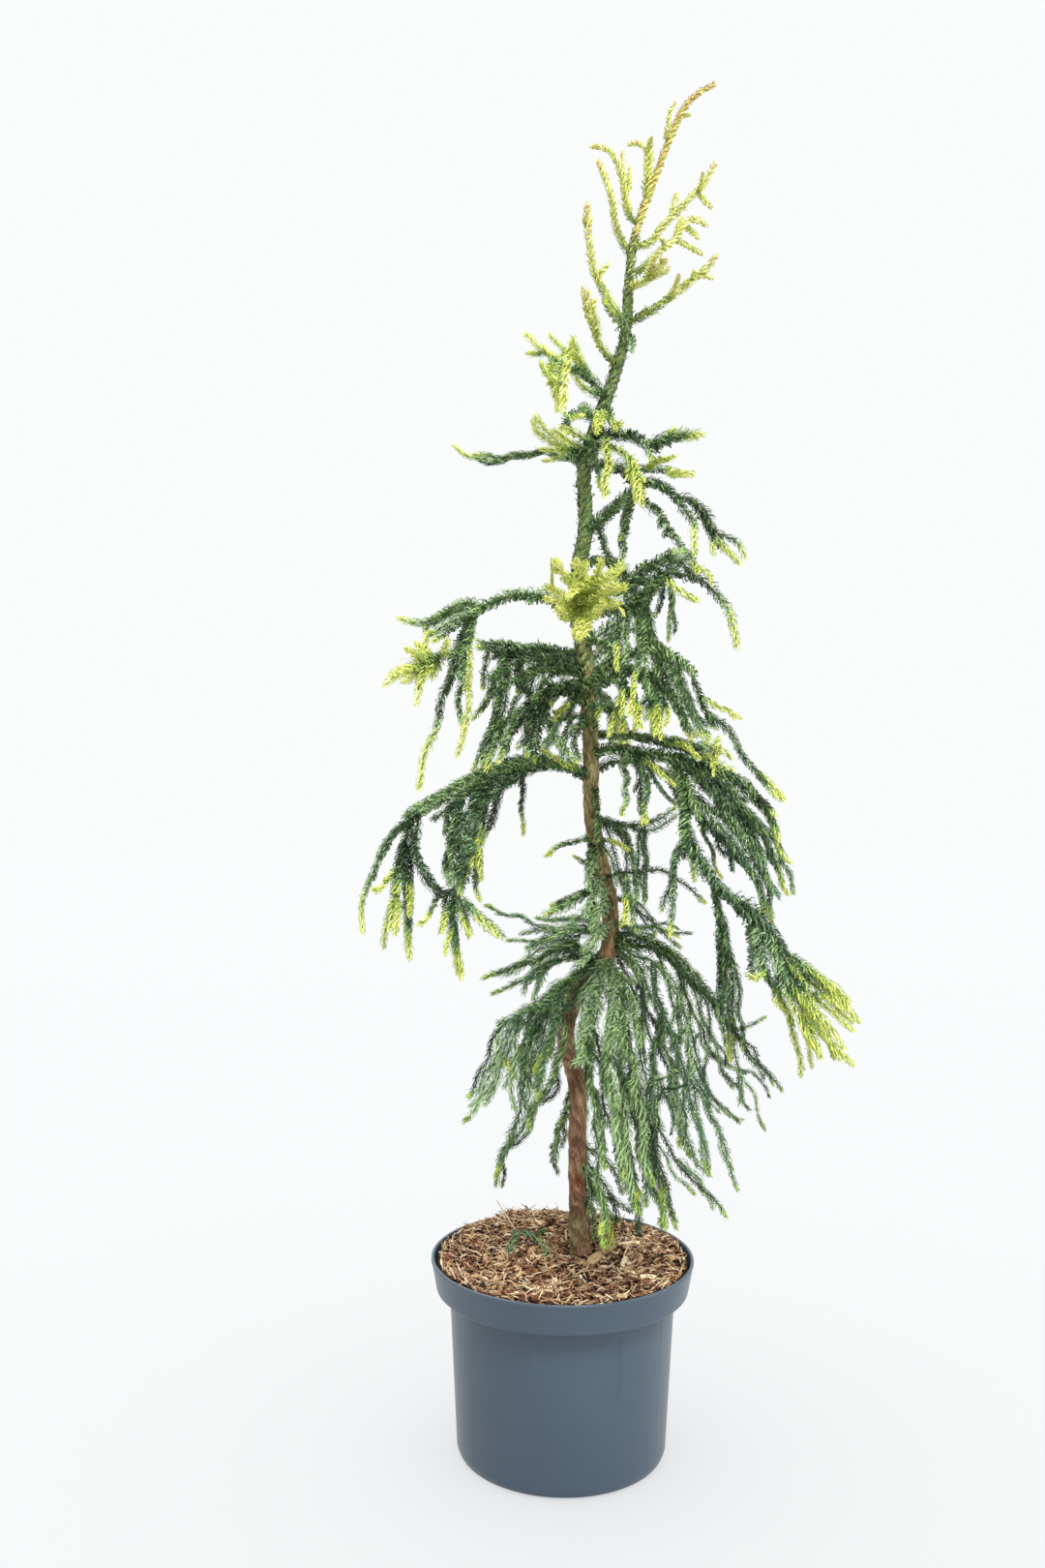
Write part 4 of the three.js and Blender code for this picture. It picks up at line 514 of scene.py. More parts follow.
    'zQ7': ('Q1t', 0, 68, (-62, -80), (67, 57), 3.69, 2, 'l', 'skirt_right_tips'),
    'zQ8': ('Q1', 0.835, 72, (-57, -54), (9, 4), 4.1, 2, 'l', 'skirt_right_tips'),
    'zQ9': ('zQ2', 0.775, 78, (-64, -72), (-81, -43), 4.51, 0.97, 'l', 'skirt_right_mid_low'),
    'zQ10': ('zQ2', 0.95, 81, (-65, -55), (-133, 9), 4.51, 0.97, 'l', 'skirt_right_mid_low'),
    'zQ11': ('zQ5', 0.815, 52, (-36, -77), (42, 105), 3.69, 2, 'm', 'skirt_right_front'),
    'zQ12': ('zQ2', 0.805, 92, (-48, -71), (-50, -48), 4.51, 0.97, 'l', 'skirt_right_mid_low'),
    'zQ13': ('Q9', 0.69, 98, (-26, -50), (61, 59), 4.1, 2, 'l', 'skirt_right_low'),
    'zQ14': ('Q5', 0.545, 159, (-6, -81, -65, -63), (172, 87, 39, 28), 4.51, 0.9, 'l', 'skirt_right_low'),
    'zQ15': ('Q5', 0.61, 153, (-6, -66, -64, -66), (149, 88, 77, 60), 4.51, 0.9, 'l', 'skirt_right_low'),
    'zQ16': ('Q13', 0.35, 119, (-37, -68, -63), (43, 89, 69), 4.51, 2, 'l', 'skirt_right_front'),
    'zQ17': ('Q3', 0.555, 107, (-57, -73), (48, 43), 4.1, 2, 'l', 'skirt_right_mid_low'),
    'zQ18': ('Q6', 0.485, 94, (-6, -25), (-82, -72), 3.69, 2, 'l', 'skirt_right_back'),
    'zQ19': ('zQ2', 0.67, 91, (-67, -39), (53, 8), 3.69, 2, 'm', 'skirt_right_back'),
    'zQ20': ('Q13', 0.295, 110, (-61, -72), (121, 33), 4.51, 2, 'l', 'skirt_right_front'),
    'zT1': ('trunk', 0.89, 47, (78, 83), (-84, -56), 4.92, 0.02, 'd', 'top_right'),
    'zT2': ('a1', 0.11, 56, (77, 86), (154, 147), 2.46, 0.02, 'd', 'top_left'),
    'zT3': ('a1', 0.36, 26, (40, 100), (1, 185), 2.46, 0.02, 'd', 'top_left'),
    'zG10': ('G1', 0.565, 88, (4, 7, 11), (-137, -57, -56), 4.1, 0, 'd', 'front_gold'),
    'zG11': ('G1', 0.23, 128, (3, -2, 13), (-122, -66, -70), 4.1, 0, 'd', 'front_gold'),
    'zG12': ('G1', 0, 148, (0, -9, 8), (-107, -76, -81), 3.69, 0, 'd', 'front_gold'),
    'zG13': ('G1', 0.99, 40, (-10, -34), (-118, -125), 3.28, 0, 'd', 'front_gold'),
    'zG14': ('G1', 0, 142, (-10, -14), (-92, -92), 3.28, 0, 'd', 'front_gold'),
}

BOUGHS = {
    "bough_right_high": ("R2", 0, .495), "bough_left_high": ("L1", 0, .925), "bough_left_low": ("L4", 0, .395),
    "bough_right_mid": ("R4", 0, .795), "bough_right_low": ("R5", 0, .495), "bough_right_drop": ("R6", 0, 1),
    "bough_skirt_left": ("N1", 0, .715), "bough_skirt_right": ("Q1", 0, .895),
}

# ------------------------------------------------------------------------------------------------ helpers
def ripple(points, scale, seed, waves=7):
    """A smooth, repeatable unevenness of about -1 to 1 over points (n, 3)."""
    r = np.random.default_rng(seed)
    d = r.normal(size=(waves, 3))
    d /= np.linalg.norm(d, axis=1)[:, None]
    f = r.uniform(.7, 1.9, waves) * TAU / scale
    p = r.uniform(0, TAU, waves)
    return np.sin(points @ (d * f[:, None]).T + p).sum(1) / math.sqrt(waves / 2) / 1.6


def course(base, length, pitch, swing, steps):
    t = (np.arange(steps) + .5) / steps
    p = np.radians(np.interp(t, np.linspace(0, 1, len(pitch)), pitch))
    s = np.radians(np.interp(t, np.linspace(0, 1, len(swing)), swing))
    d = np.stack([np.cos(p) * np.cos(s), np.cos(p) * np.sin(s), np.sin(p)], 1) * (length / steps)
    return np.vstack([base, np.asarray(base) + np.cumsum(d, 0)])


def along(path, t):
    x = min(max(t, 0), 1) * (len(path) - 1)
    i = min(int(x), len(path) - 2)
    return path[i] + (path[i + 1] - path[i]) * (x - i)


class Line:
    """Evenly spaced points with a frame that doesn't twist: P place, T along, R and Q across."""

    def __init__(self, points, step, smooth=2):
        points = np.asarray(points, float)
        seg = np.linalg.norm(np.diff(points, axis=0), axis=1)
        s = np.r_[0, np.cumsum(seg)]
        self.length = float(s[-1])
        n = max(4, int(round(self.length / step)) + 1)
        u = np.linspace(0, self.length, n)
        P = np.stack([np.interp(u, s, points[:, k]) for k in range(3)], 1)
        for _ in range(smooth):
            P[1:-1] = .25 * P[:-2] + .5 * P[1:-1] + .25 * P[2:]
        T = np.gradient(P, axis=0)
        T /= np.linalg.norm(T, axis=1)[:, None]
        R = np.zeros_like(P)
        r = np.array([1.0, 0, 0]) if abs(T[0][0]) < .9 else np.array([0, 1.0, 0])
        for i in range(n):
            r = r - T[i] * (r @ T[i])
            r = r / np.linalg.norm(r)
            R[i] = r
        self.u, self.P, self.T, self.R, self.Q, self.n = u, P, T, R, np.cross(T, R), n

    def at(self, s):
        """Place and frame at distances s."""
        def mix(A):
            return np.stack([np.interp(s, self.u, A[:, k]) for k in range(3)], 1)
        P, T, R = mix(self.P), mix(self.T), mix(self.R)
        T /= np.linalg.norm(T, axis=1)[:, None]
        R -= T * (R * T).sum(1)[:, None]
        R /= np.linalg.norm(R, axis=1)[:, None]
        return P, T, R, np.cross(T, R)


def mesh_object(name, verts, faces, material, smooth=True, attributes=None):
    """A mesh object from millimetre verts (n, 3) and an array of triangles or quads (m, k)."""
    verts = np.ascontiguousarray(verts, np.float32) * .001
    faces = np.ascontiguousarray(faces, np.int32)
    k = faces.shape[1]
    me = bpy.data.meshes.new(name)
    me.vertices.add(len(verts))
    me.vertices.foreach_set("co", verts.ravel())
    me.loops.add(faces.size)
    me.loops.foreach_set("vertex_index", faces.ravel())
    me.polygons.add(len(faces))
    me.polygons.foreach_set("loop_start", np.arange(0, faces.size, k, dtype=np.int32))
    me.polygons.foreach_set("use_smooth", np.full(len(faces), smooth))
    me.update(calc_edges=True)
    for key, values in (attributes or {}).items():
        a = me.attributes.new(key, "FLOAT", "POINT")
        a.data.foreach_set("value", np.ascontiguousarray(values, np.float32))
    me.materials.append(material)
    ob = bpy.data.objects.new(name, me)
    bpy.context.scene.collection.objects.link(ob)
    return ob


def tube(line, radius, sides, tip=True, foot=True):
    """Verts and triangles of a closed tube. radius(t, angle) or an array of one value per ring."""
    ang = np.arange(sides) / sides * TAU
    t = line.u / line.length
    tt, aa = np.meshgrid(t, ang, indexing="ij")
    rr = radius(tt, aa) if callable(radius) else np.repeat(np.asarray(radius)[:, None], sides, 1)
    V = line.P[:, None] + rr[..., None] * (np.cos(aa)[..., None] * line.R[:, None] + np.sin(aa)[..., None] * line.Q[:, None])
    V = V.reshape(-1, 3)
    n = line.n
    i, k = np.meshgrid(np.arange(n - 1), np.arange(sides), indexing="ij")
    a, b = i * sides + k, i * sides + (k + 1) % sides
    c, d = b + sides, a + sides
    F = np.concatenate([np.stack([a, b, c], -1).reshape(-1, 3), np.stack([a, c, d], -1).reshape(-1, 3)])
    extra = []
    k = np.arange(sides)
    if foot:
        V = np.vstack([V, line.P[0]])
        extra.append(np.stack([np.full(sides, len(V) - 1), (k + 1) % sides, k], 1))
    if tip:
        V = np.vstack([V, line.P[-1] + line.T[-1] * rr[-1].mean() * 1.2])
        base = (n - 1) * sides
        extra.append(np.stack([np.full(sides, len(V) - 1), base + k, base + (k + 1) % sides], 1))
    if extra:
        F = np.concatenate([F] + extra)
    return V, F


def join(parts):
    V, F, n = [], [], 0
    for v, f in parts:
        V.append(v)
        F.append(f + n)
        n += len(v)
    return np.concatenate(V), np.concatenate(F)


def linear(text):
    c = [int(text[i:i + 2], 16) / 255 for i in (1, 3, 5)]
    return tuple(x / 12.92 if x <= .04045 else ((x + .055) / 1.055) ** 2.4 for x in c) + (1.0,)


# ------------------------------------------------------------------------------------------------ camera, light, floor
cam = bpy.data.cameras.new("camera")
cam.sensor_width = 36
cam.lens = 32.35
camera = bpy.data.objects.new("camera", cam)
bpy.context.scene.collection.objects.link(camera)
camera.matrix_world = (Matrix.Translation((-.0366, -1.18455, .5985)) @ Matrix.Rotation(math.radians(90) - .029, 4, "X")
                       @ Matrix.Rotation(.007, 4, "Z"))
bpy.context.scene.camera = camera

scene = bpy.context.scene
scene.view_settings.view_transform = "Standard"
scene.view_settings.look = "None"
world = bpy.data.worlds.new("studio")
scene.world = world
world.use_nodes = True
world.node_tree.nodes["Background"].inputs["Color"].default_value = (.960, .975, .970, 1)
world.node_tree.nodes["Background"].inputs["Strength"].default_value = 1.0


lamps = []


def area_light(name, place, target, size, power, colour=(1, 1, 1)):
    lamp = bpy.data.lights.new(name, "AREA")
    lamp.shape = "SQUARE"
    lamp.size = size
    lamp.energy = power
    lamp.color = colour
    ob = bpy.data.objects.new(name, lamp)
    ob.location = place
    ob.rotation_mode = "QUATERNION"
    ob.rotation_quaternion = (Vector(target) - Vector(place)).to_track_quat("-Z", "Y")
    scene.collection.objects.link(ob)
    lamps.append(ob)


area_light("key", (.45, -1.5, 2.4), (0, 0, .55), .7, 70, (1, .985, .95))
area_light("back_key", (-.6, 1.7, 2.3), (0, 0, .55), .9, 22, (1, .985, .96))
area_light("side", (1.9, -.5, .7), (0, 0, .3), .9, 12, (1, .99, .98))


def principled(name, base, rough, specular=.5, **sockets):
    m = bpy.data.materials.new(name)
    m.use_nodes = True
    b = m.node_tree.nodes["Principled BSDF"]
    b.inputs["Base Color"].default_value = linear(base) if isinstance(base, str) else base
    b.inputs["Roughness"].default_value = rough
    b.inputs["Specular IOR Level"].default_value = specular
    for key, value in sockets.items():
        b.inputs[key].default_value = value
    return m


floor_material = principled("floor_paint", (.40, .405, .408, 1), .8, .1)
floor_material.node_tree.nodes["Principled BSDF"].inputs["Emission Color"].default_value = (.977, .984, 1, 1)
floor_material.node_tree.nodes["Principled BSDF"].inputs["Emission Strength"].default_value = .565
floor = mesh_object("floor", np.array([[-6000, -6000, 0], [6000, -6000, 0], [6000, 6000, 0], [-6000, 6000, 0]], float) - [0, 0, .2],
                    np.array([[0, 1, 2, 3]]), floor_material, smooth=False)
floor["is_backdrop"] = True

# ------------------------------------------------------------------------------------------------ limbs
trunk_path = course(FOOT, TRUNK_LENGTH, TRUNK_PITCH, TRUNK_SWING, 84)
paths = {"trunk": trunk_path}
for name, row in SHOOTS.items():
    paths[name] = course(along(paths[row[0]], row[1]), row[2], row[3], row[4], 24)


def girth(t):
    return np.interp(t, [r[0] for r in TRUNK_GIRTH], [r[1] for r in TRUNK_GIRTH])


trunk_line = Line(trunk_path, 1.5, smooth=10)
BARK_TURN = 92.0      # the fibres of the old bark go once round in this length
ROPE_TURN = 23.0      # and the leaf bases on the young stem in this one
GREEN_FROM, GREEN_BY = .42, .56


def bark_relief(t, a, length, seed, rope):
    """Height in mm of the bark over its mean: fibrous strips below, roped leaf bases above."""
    s = t * length
    flat = lambda *x: np.stack([v.ravel() for v in x], 1)
    wob = ripple(flat(np.cos(a) * 9, np.sin(a) * 9, s * .35), 16, seed).reshape(t.shape)
    phi = a + TAU * s / BARK_TURN + .35 * wob
    strips = 0
    for n, h, k in ((5, .34, 0), (9, .26, 1), (14, .17, 2)):
        strips = strips + h * (1 - 2 * np.abs(np.sin(.5 * (n * phi + 1.3 * k + .9 * wob))) ** .7)
    pits = .22 * ripple(flat(np.cos(phi) * 7, np.sin(phi) * 7, s * .22), 4.2, seed + 1).reshape(t.shape)
    knots = .35 * ripple(flat(np.cos(a) * 5, np.sin(a) * 5, s), 26, seed + 2).reshape(t.shape)
    rp = a + .25 * wob
    ropes = .62 * (np.abs(np.sin(.5 * (5 * rp - 5 * TAU * s / ROPE_TURN))) ** .6 - .62)
    return (1 - rope) * (strips + pits + knots) + rope * (ropes + .3 * knots)


def limb_mesh(name, line, radius, sides, seed, rope_of, material):
    store = {}

    def skin(t, a):
        rope = rope_of(t)
        r = radius(t)
        h = bark_relief(t, a, line.length, seed, rope)
        k = np.clip(r / 6.5, .25, 1.15)
        store["relief"] = (h * .8 + .5)
        store["young"] = rope
        return r + h * k
    V, F = tube(line, skin, sides)
    extra = len(V) - line.n * sides
    rel = np.r_[store["relief"].ravel(), np.full(extra, .5)]
    you = np.r_[store["young"].ravel(), np.full(extra, float(store["young"].ravel()[-1]))]
    hgt = V[:, 2] * .001
    return mesh_object(name, V, F, material, attributes={"relief": rel, "young": you, "height": hgt})


def bark_material(name="bark", leafy=False):
    m = principled(name, "#7d5640", .88, .25)
    nt = m.node_tree
    N, L = nt.nodes, nt.links
    bsdf = N["Principled BSDF"]

    def attribute(name):
        n = N.new("ShaderNodeAttribute")
        n.attribute_name = name
        return n.outputs["Fac"]

    def ramp(source, stops):
        n = N.new("ShaderNodeValToRGB")
        e = n.color_ramp.elements
        while len(e) < len(stops):
            e.new(.5)
        for el, (p, c) in zip(e, stops):
            el.position = p
            el.color = linear(c)
        L.new(source, n.inputs["Fac"])
        return n.outputs["Color"]

    def mix(fac, a, b, kind="MIX"):
        n = N.new("ShaderNodeMix")
        n.data_type = "RGBA"
        n.blend_type = kind
        if hasattr(fac, "is_linked") or not isinstance(fac, (int, float)):
            L.new(fac, n.inputs[0])
        else:
            n.inputs[0].default_value = fac
        L.new(a, n.inputs[6])
        L.new(b, n.inputs[7])
        return n.outputs[2]
    co = N.new("ShaderNodeTexCoord").outputs["Object"]
    mp = N.new("ShaderNodeMapping")
    mp.inputs["Scale"].default_value = (1, 1, .2)
    L.new(co, mp.inputs["Vector"])
    fibre = N.new("ShaderNodeTexNoise")
    fibre.inputs["Scale"].default_value = 880
    fibre.inputs["Detail"].default_value = 6
    L.new(mp.outputs["Vector"], fibre.inputs["Vector"])
    patch = N.new("ShaderNodeTexNoise")
    patch.inputs["Scale"].default_value = 38
    patch.inputs["Detail"].default_value = 3
    L.new(co, patch.inputs["Vector"])
    relief = attribute("relief")
    add = N.new("ShaderNodeMath")
    add.operation = "MULTIPLY_ADD"
    add.inputs[1].default_value = .50
    L.new(fibre.outputs["Fac"], add.inputs[0])
    sub = N.new("ShaderNodeMath")
    sub.operation = "MULTIPLY"
    sub.inputs[1].default_value = .22
    L.new(relief, sub.inputs[0])
    L.new(sub.outputs[0], add.inputs[2])
    tone = add.outputs[0]
    old = ramp(tone, ((.20, "#644632"), (.29, "#81604a"), (.36, "#96745a"), (.43, "#ab8b6e"), (.54, "#c5a98b")))
    mid = ramp(tone, ((.20, "#645839"), (.29, "#87774e"), (.36, "#a08d60"), (.43, "#b5a479"), (.54, "#cabb94")))
    green = ramp(tone, ((.20, "#39432a"), (.29, "#53613a"), (.36, "#6c7b4b"), (.43, "#899461"), (.54, "#a4a97c")))
    if leafy:
        green = ramp(tone, ((.20, "#26351f"), (.32, "#3b5130"), (.42, "#546c40"), (.54, "#71804f")))
    tip = ramp(tone, ((.18, "#7d6e38"), (.32, "#a8954c"), (.42, "#c4b06a"), (.54, "#d6c688")))
    height = attribute("height")

    def step(lo, hi, noise=.0):
        n = N.new("ShaderNodeMapRange")
        n.inputs["From Min"].default_value = lo
        n.inputs["From Max"].default_value = hi
        n.interpolation_type = "SMOOTHSTEP"
        if noise:
            w = N.new("ShaderNodeMath")
            w.operation = "MULTIPLY_ADD"
            w.inputs[1].default_value = noise
            L.new(patch.outputs["Fac"], w.inputs[0])
            L.new(height, w.inputs[2])
            L.new(w.outputs[0], n.inputs["Value"])
        else:
            L.new(height, n.inputs["Value"])
        return n.outputs["Result"]
    c = mix(step(.44, .60, .12), old, mid)
    c = mix(attribute("young"), c, green)
    c = mix(step(.985, 1.05), c, tip)
    rusty = N.new("ShaderNodeMapRange")
    rusty.inputs["From Min"].default_value = .60
    rusty.inputs["From Max"].default_value = .72
    L.new(patch.outputs["Fac"], rusty.inputs["Value"])
    rust = ramp(tone, ((.22, "#633c2a"), (.36, "#9b6648"), (.50, "#be916d")))
    low = N.new("ShaderNodeMath")
    low.operation = "MULTIPLY"
    inv = N.new("ShaderNodeMath")
    inv.operation = "SUBTRACT"
    inv.inputs[0].default_value = 1
    L.new(attribute("young"), inv.inputs[1])
    L.new(inv.outputs[0], low.inputs[0])
    L.new(rusty.outputs["Result"], low.inputs[1])
    c = mix(low.outputs[0], c, rust)
    mossy = N.new("ShaderNodeMapRange")
    mossy.inputs["From Min"].default_value = .47
    mossy.inputs["From Max"].default_value = .36
    mossy.inputs["To Max"].default_value = .55
    L.new(patch.outputs["Fac"], mossy.inputs["Value"])
    moss = ramp(tone, ((.22, "#454529"), (.36, "#737249"), (.50, "#9c9b72")))
    c = mix(mossy.outputs["Result"], c, moss)
    L.new(c, bsdf.inputs["Base Color"])
    bump = N.new("ShaderNodeBump")
    bump.inputs["Strength"].default_value = .5
    bump.inputs["Distance"].default_value = .0007
    L.new(fibre.outputs["Fac"], bump.inputs["Height"])
    L.new(bump.outputs["Normal"], bsdf.inputs["Normal"])
    return m


bark = bark_material()
bough_skin = bark_material("bark_of_boughs", True)
rope_on_trunk = lambda t: np.clip((t - GREEN_FROM) / (GREEN_BY - GREEN_FROM), 0, 1) ** 1.5


def trunk_radius(t):
    return girth(t)


trunk = limb_mesh("trunk_bark", trunk_line, trunk_radius, 40, 11, rope_on_trunk, bark)
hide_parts("trunk")
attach(trunk, "root")

bough_radius = {}
for name, (shoot, a, b) in BOUGHS.items():
    row = SHOOTS[shoot]
    whole = Line(paths[shoot], 1.8, smooth=4)
    keep = int(round(whole.n * b))
    part = Line(whole.P[:max(keep, 5)], 1.8, smooth=0)
    r0, r1 = (2.5, 1.25) if row[7] != "l" else (1.8, 1.0)
    bough_radius[shoot] = (r0, r1, b)
    bough = limb_mesh(name + "_bark", part, lambda t, r0=r0, r1=r1: r0 + (r1 - r0) * t + 1.3 * np.exp(-t * 24), 14,
                      sum(map(ord, name)), lambda t: np.full_like(t, 1.0), bough_skin)
    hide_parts(name)
    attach(bough, "root")

# ------------------------------------------------------------------------------------------------ needles
TONES = {      # plain base colours, dealt out by spray
    "deep": "#162912", "dark": "#34512a", "mid": "#65844c", "leaf": "#97b47a",
    "fresh": "#94b24e", "lime": "#bccb5b", "gold": "#d7dc73", "pale": "#e8eaa2",
    "bronze": "#b79a55", "rose": "#c99d78", "grey": "#839e79", "mist": "#a8bf9d",
    "olive": "#66783f", "moss": "#8ba54e", "straw": "#c6c569", "slate": "#4f7155",
}
NAMES = list(TONES)
NUMBER = {n: i for i, n in enumerate(NAMES)}
beds = []          # every coat of needles, as arrays
stems = []         # thin woody stems: (verts, faces, tone)


def tones_for(t, kind, gold, group, rng, behind=False):
    """Which plain colour each needle takes, from its place on the shoot and its spray."""
    n = len(t)
    # shoots that lean to the back get darker tones here and from the back scale below: painted shade, and partly the
    # older needles of the far side
    spray = rng.normal(-.5 if behind else 0, .45)
    speck = rng.normal(0, .75, n)
    wide = np.arange(n)
    grain = .55 * np.sin(wide / rng.uniform(2.2, 3.4) + rng.uniform(0, TAU)) + .45 * np.sin(wide / rng.uniform(5, 9) + rng.uniform(0, TAU))
    golden = np.clip((t - (gold - .10)) / .2, 0, 1) if gold < 1.5 else np.zeros(n)
    if group in TOP:
        g = min(gold, .9)
        pick = np.interp(t, (0, g, g + .12, 1), (.1, 1.4, 2.8, 3.7)) + .35 * spray + .65 * speck
        out = np.array([NUMBER[k] for k in ("olive", "moss", "straw", "straw", "pale")])[np.clip(np.round(pick), 0, 4).astype(int)]
        out = np.where((out == NUMBER["straw"]) & (rng.random(n) < .38), NUMBER["lime"], out)
        tip = rng.random(n) < np.interp(t, (.76, .9, 1), (0, .18, .45))
        out[tip] = np.where(rng.random(tip.sum()) < .3, NUMBER["rose"], NUMBER["bronze"])
        return out
    if kind == "l":
        scale = SCALES["back" if behind else "front" if group in FRONT_SKIRT else "long" if group in LONG_SKIRT else "right" if group.startswith("skirt_right") else "left"]
        step = len(scale) / 2 - .5 + 3.0 * spray + .8 * grain + .9 * speck + 1.7 * (t - .5) + (1.3 if group in FRONT_SKIRT else .0)
        out = np.array([NUMBER[k] for k in scale])[np.clip(np.round(step), 0, len(scale) - 1).astype(int)]
        cool = (out == NUMBER["grey"]) | (out == NUMBER["mist"])
        out = np.where(cool & (rng.random(n) < np.interp(t, (.3, .8), (.1, .75))), NUMBER["leaf"], out)
        g = golden * (1 + .3 * rng.normal(size=n))
        ripe = .85 if gold < .78 else 1.3
        return np.where(g > ripe, NUMBER["lime"], np.where(g > .62, NUMBER["fresh"], np.where(g > .35, NUMBER["moss"], out)))
    base = (1.45 if kind == "d" else 1.9) + 1.4 * spray
    ripe = base + (5.0 + 1.2 * np.clip(t * 1.6 - .4, 0, 1) - base) * golden + grain * np.where(golden > .5, .7, 1) + speck * np.where(golden > .5, .8, 1)
    if gold > .05 and group not in LOOSE:
        ripe = ripe - .5 * golden
    out = np.clip(np.round(ripe), 0, np.where(golden > .15, 7, 3)).astype(int)
    if group.startswith(PALE):
        cool = np.array([0, NUMBER["slate"], NUMBER["slate"], NUMBER["grey"], 4, 5, 6, 7])
        out = np.where(rng.random(n) < (.6 if group.startswith("centre") else .42), cool[out], out)
    return out


SCALES = {     # how the skirt's greens run from shade to light
    "back": ("deep", "deep", "dark", "mid", "leaf"), "front": ("deep", "dark", "mid", "leaf", "grey", "leaf", "grey", "mist"),
    "long": ("deep", "deep", "dark", "dark", "mid", "leaf", "leaf", "mist"), "right": ("deep", "deep", "dark", "slate", "mid", "leaf", "grey", "mist"),
    "left": ("deep", "dark", "mid", "slate", "grey", "leaf", "mist"),
}
TOP = {"top_left", "top_right", "shoulder_left", "shoulder_right", "gold_right"}
FRONT_SKIRT = {"skirt_front", "trunk_front_sprays", "trunk_left_sprays"}
LONG_SKIRT = {"skirt_front_long", "skirt_front_low", "skirt_foot", "skirt_back"}
PALE = ("centre", "right_low", "right_gold", "right_mid_veil", "left_low")
# kind: needles per mm, length ahead, sweep round (radians), hook (how far the tip turns back in), half thickness
LOOSE = {"front_gold": (2.7, 7.0, 1.6, .84, .42), "left_high_gold": (2.6, 6.0, 1.5, .84, .42)}
STYLE = {
    "d": (2.35, 5.6, 1.7, .88, .47), "m": (2.2, 5.4, 1.4, .84, .42), "l": (2.5, 5.7, 1.0, .73, .35),
    "g": (2.6, 5.4, 1.35, .82, .43), "t": (4.0, 4.6, 1.3, .86, .42), "r": (1.5, 5.3, 1.35, .84, .38), "c": (1.5, 5.3, 1.6, .88, .39),
}
RANK = math.radians(144)      # five ranks
TWIST = math.radians(3.1)     # which turn slowly along the shoot
SWEEP = 1                     # and all needles sweep the same way


def coat(line, reach, style, tones, rng, start=0.0, stop=1.0, stem=.7, density=1.0, blunt_start=True, bends=3):
    """Dress a line with needles between two fractions of its length."""
    per, ahead, sweep, hook, thick = style
    L = line.length
    n = int((stop - start) * L * per * density)
    if n < 3:
        return
    s = start * L + (np.arange(n) + rng.uniform(.1, .9, n)) / n * (stop - start) * L
    P, T, R, Q = line.at(s)
    t = s / L
    if callable(stem):
        stem = stem(t)
    k = np.arange(n)
    theta = k * (RANK + TWIST) + rng.uniform(0, TAU) + rng.normal(0, .11, n)
    left = np.clip((L - s) / 6.0, 0, 1)                    # needles close up at the tip
    grow = np.clip((s - start * L) / 7.0 + (.45 if blunt_start else 1), 0, 1)
    size = rng.normal(1, .15, n).clip(.55, 1.5) * grow
    size *= np.where(rng.random(n) < .12, rng.uniform(1.15, 1.55, n), 1)
    broad = reach * np.interp(t, (0, .12, .6, 1), (1.02, 1.06, .92, .78))
    height = np.maximum(broad - stem, .8) * size * (.35 + .65 * left ** .6)
    if bends == 2:
        hook, ahead, sweep = min(hook, .78), ahead * .92, sweep * .75
    forward = ahead * rng.normal(1, .18, n).clip(.5, 1.6) * (1.1 - .35 * (1 - left)) * (.7 + .3 * min(reach / 4.5, 1.3))
    turn = SWEEP * sweep * rng.normal(1, .15, n).clip(.4, 1.6)
    beds.append(dict(P=P, T=T, R=R, Q=Q, theta=theta, stem=np.full(n, stem * .8) if np.isscalar(stem) else stem, height=height, ahead=forward,
                     turn=turn, hook=(hook * rng.normal(1, .12, n)).clip(.3, .97), thick=np.full(n, thick) * rng.normal(1, .12, n).clip(.7, 1.35),
                     tone=tones(t), bends=np.full(n, bends), roll=rng.normal(.3, .45, n)))


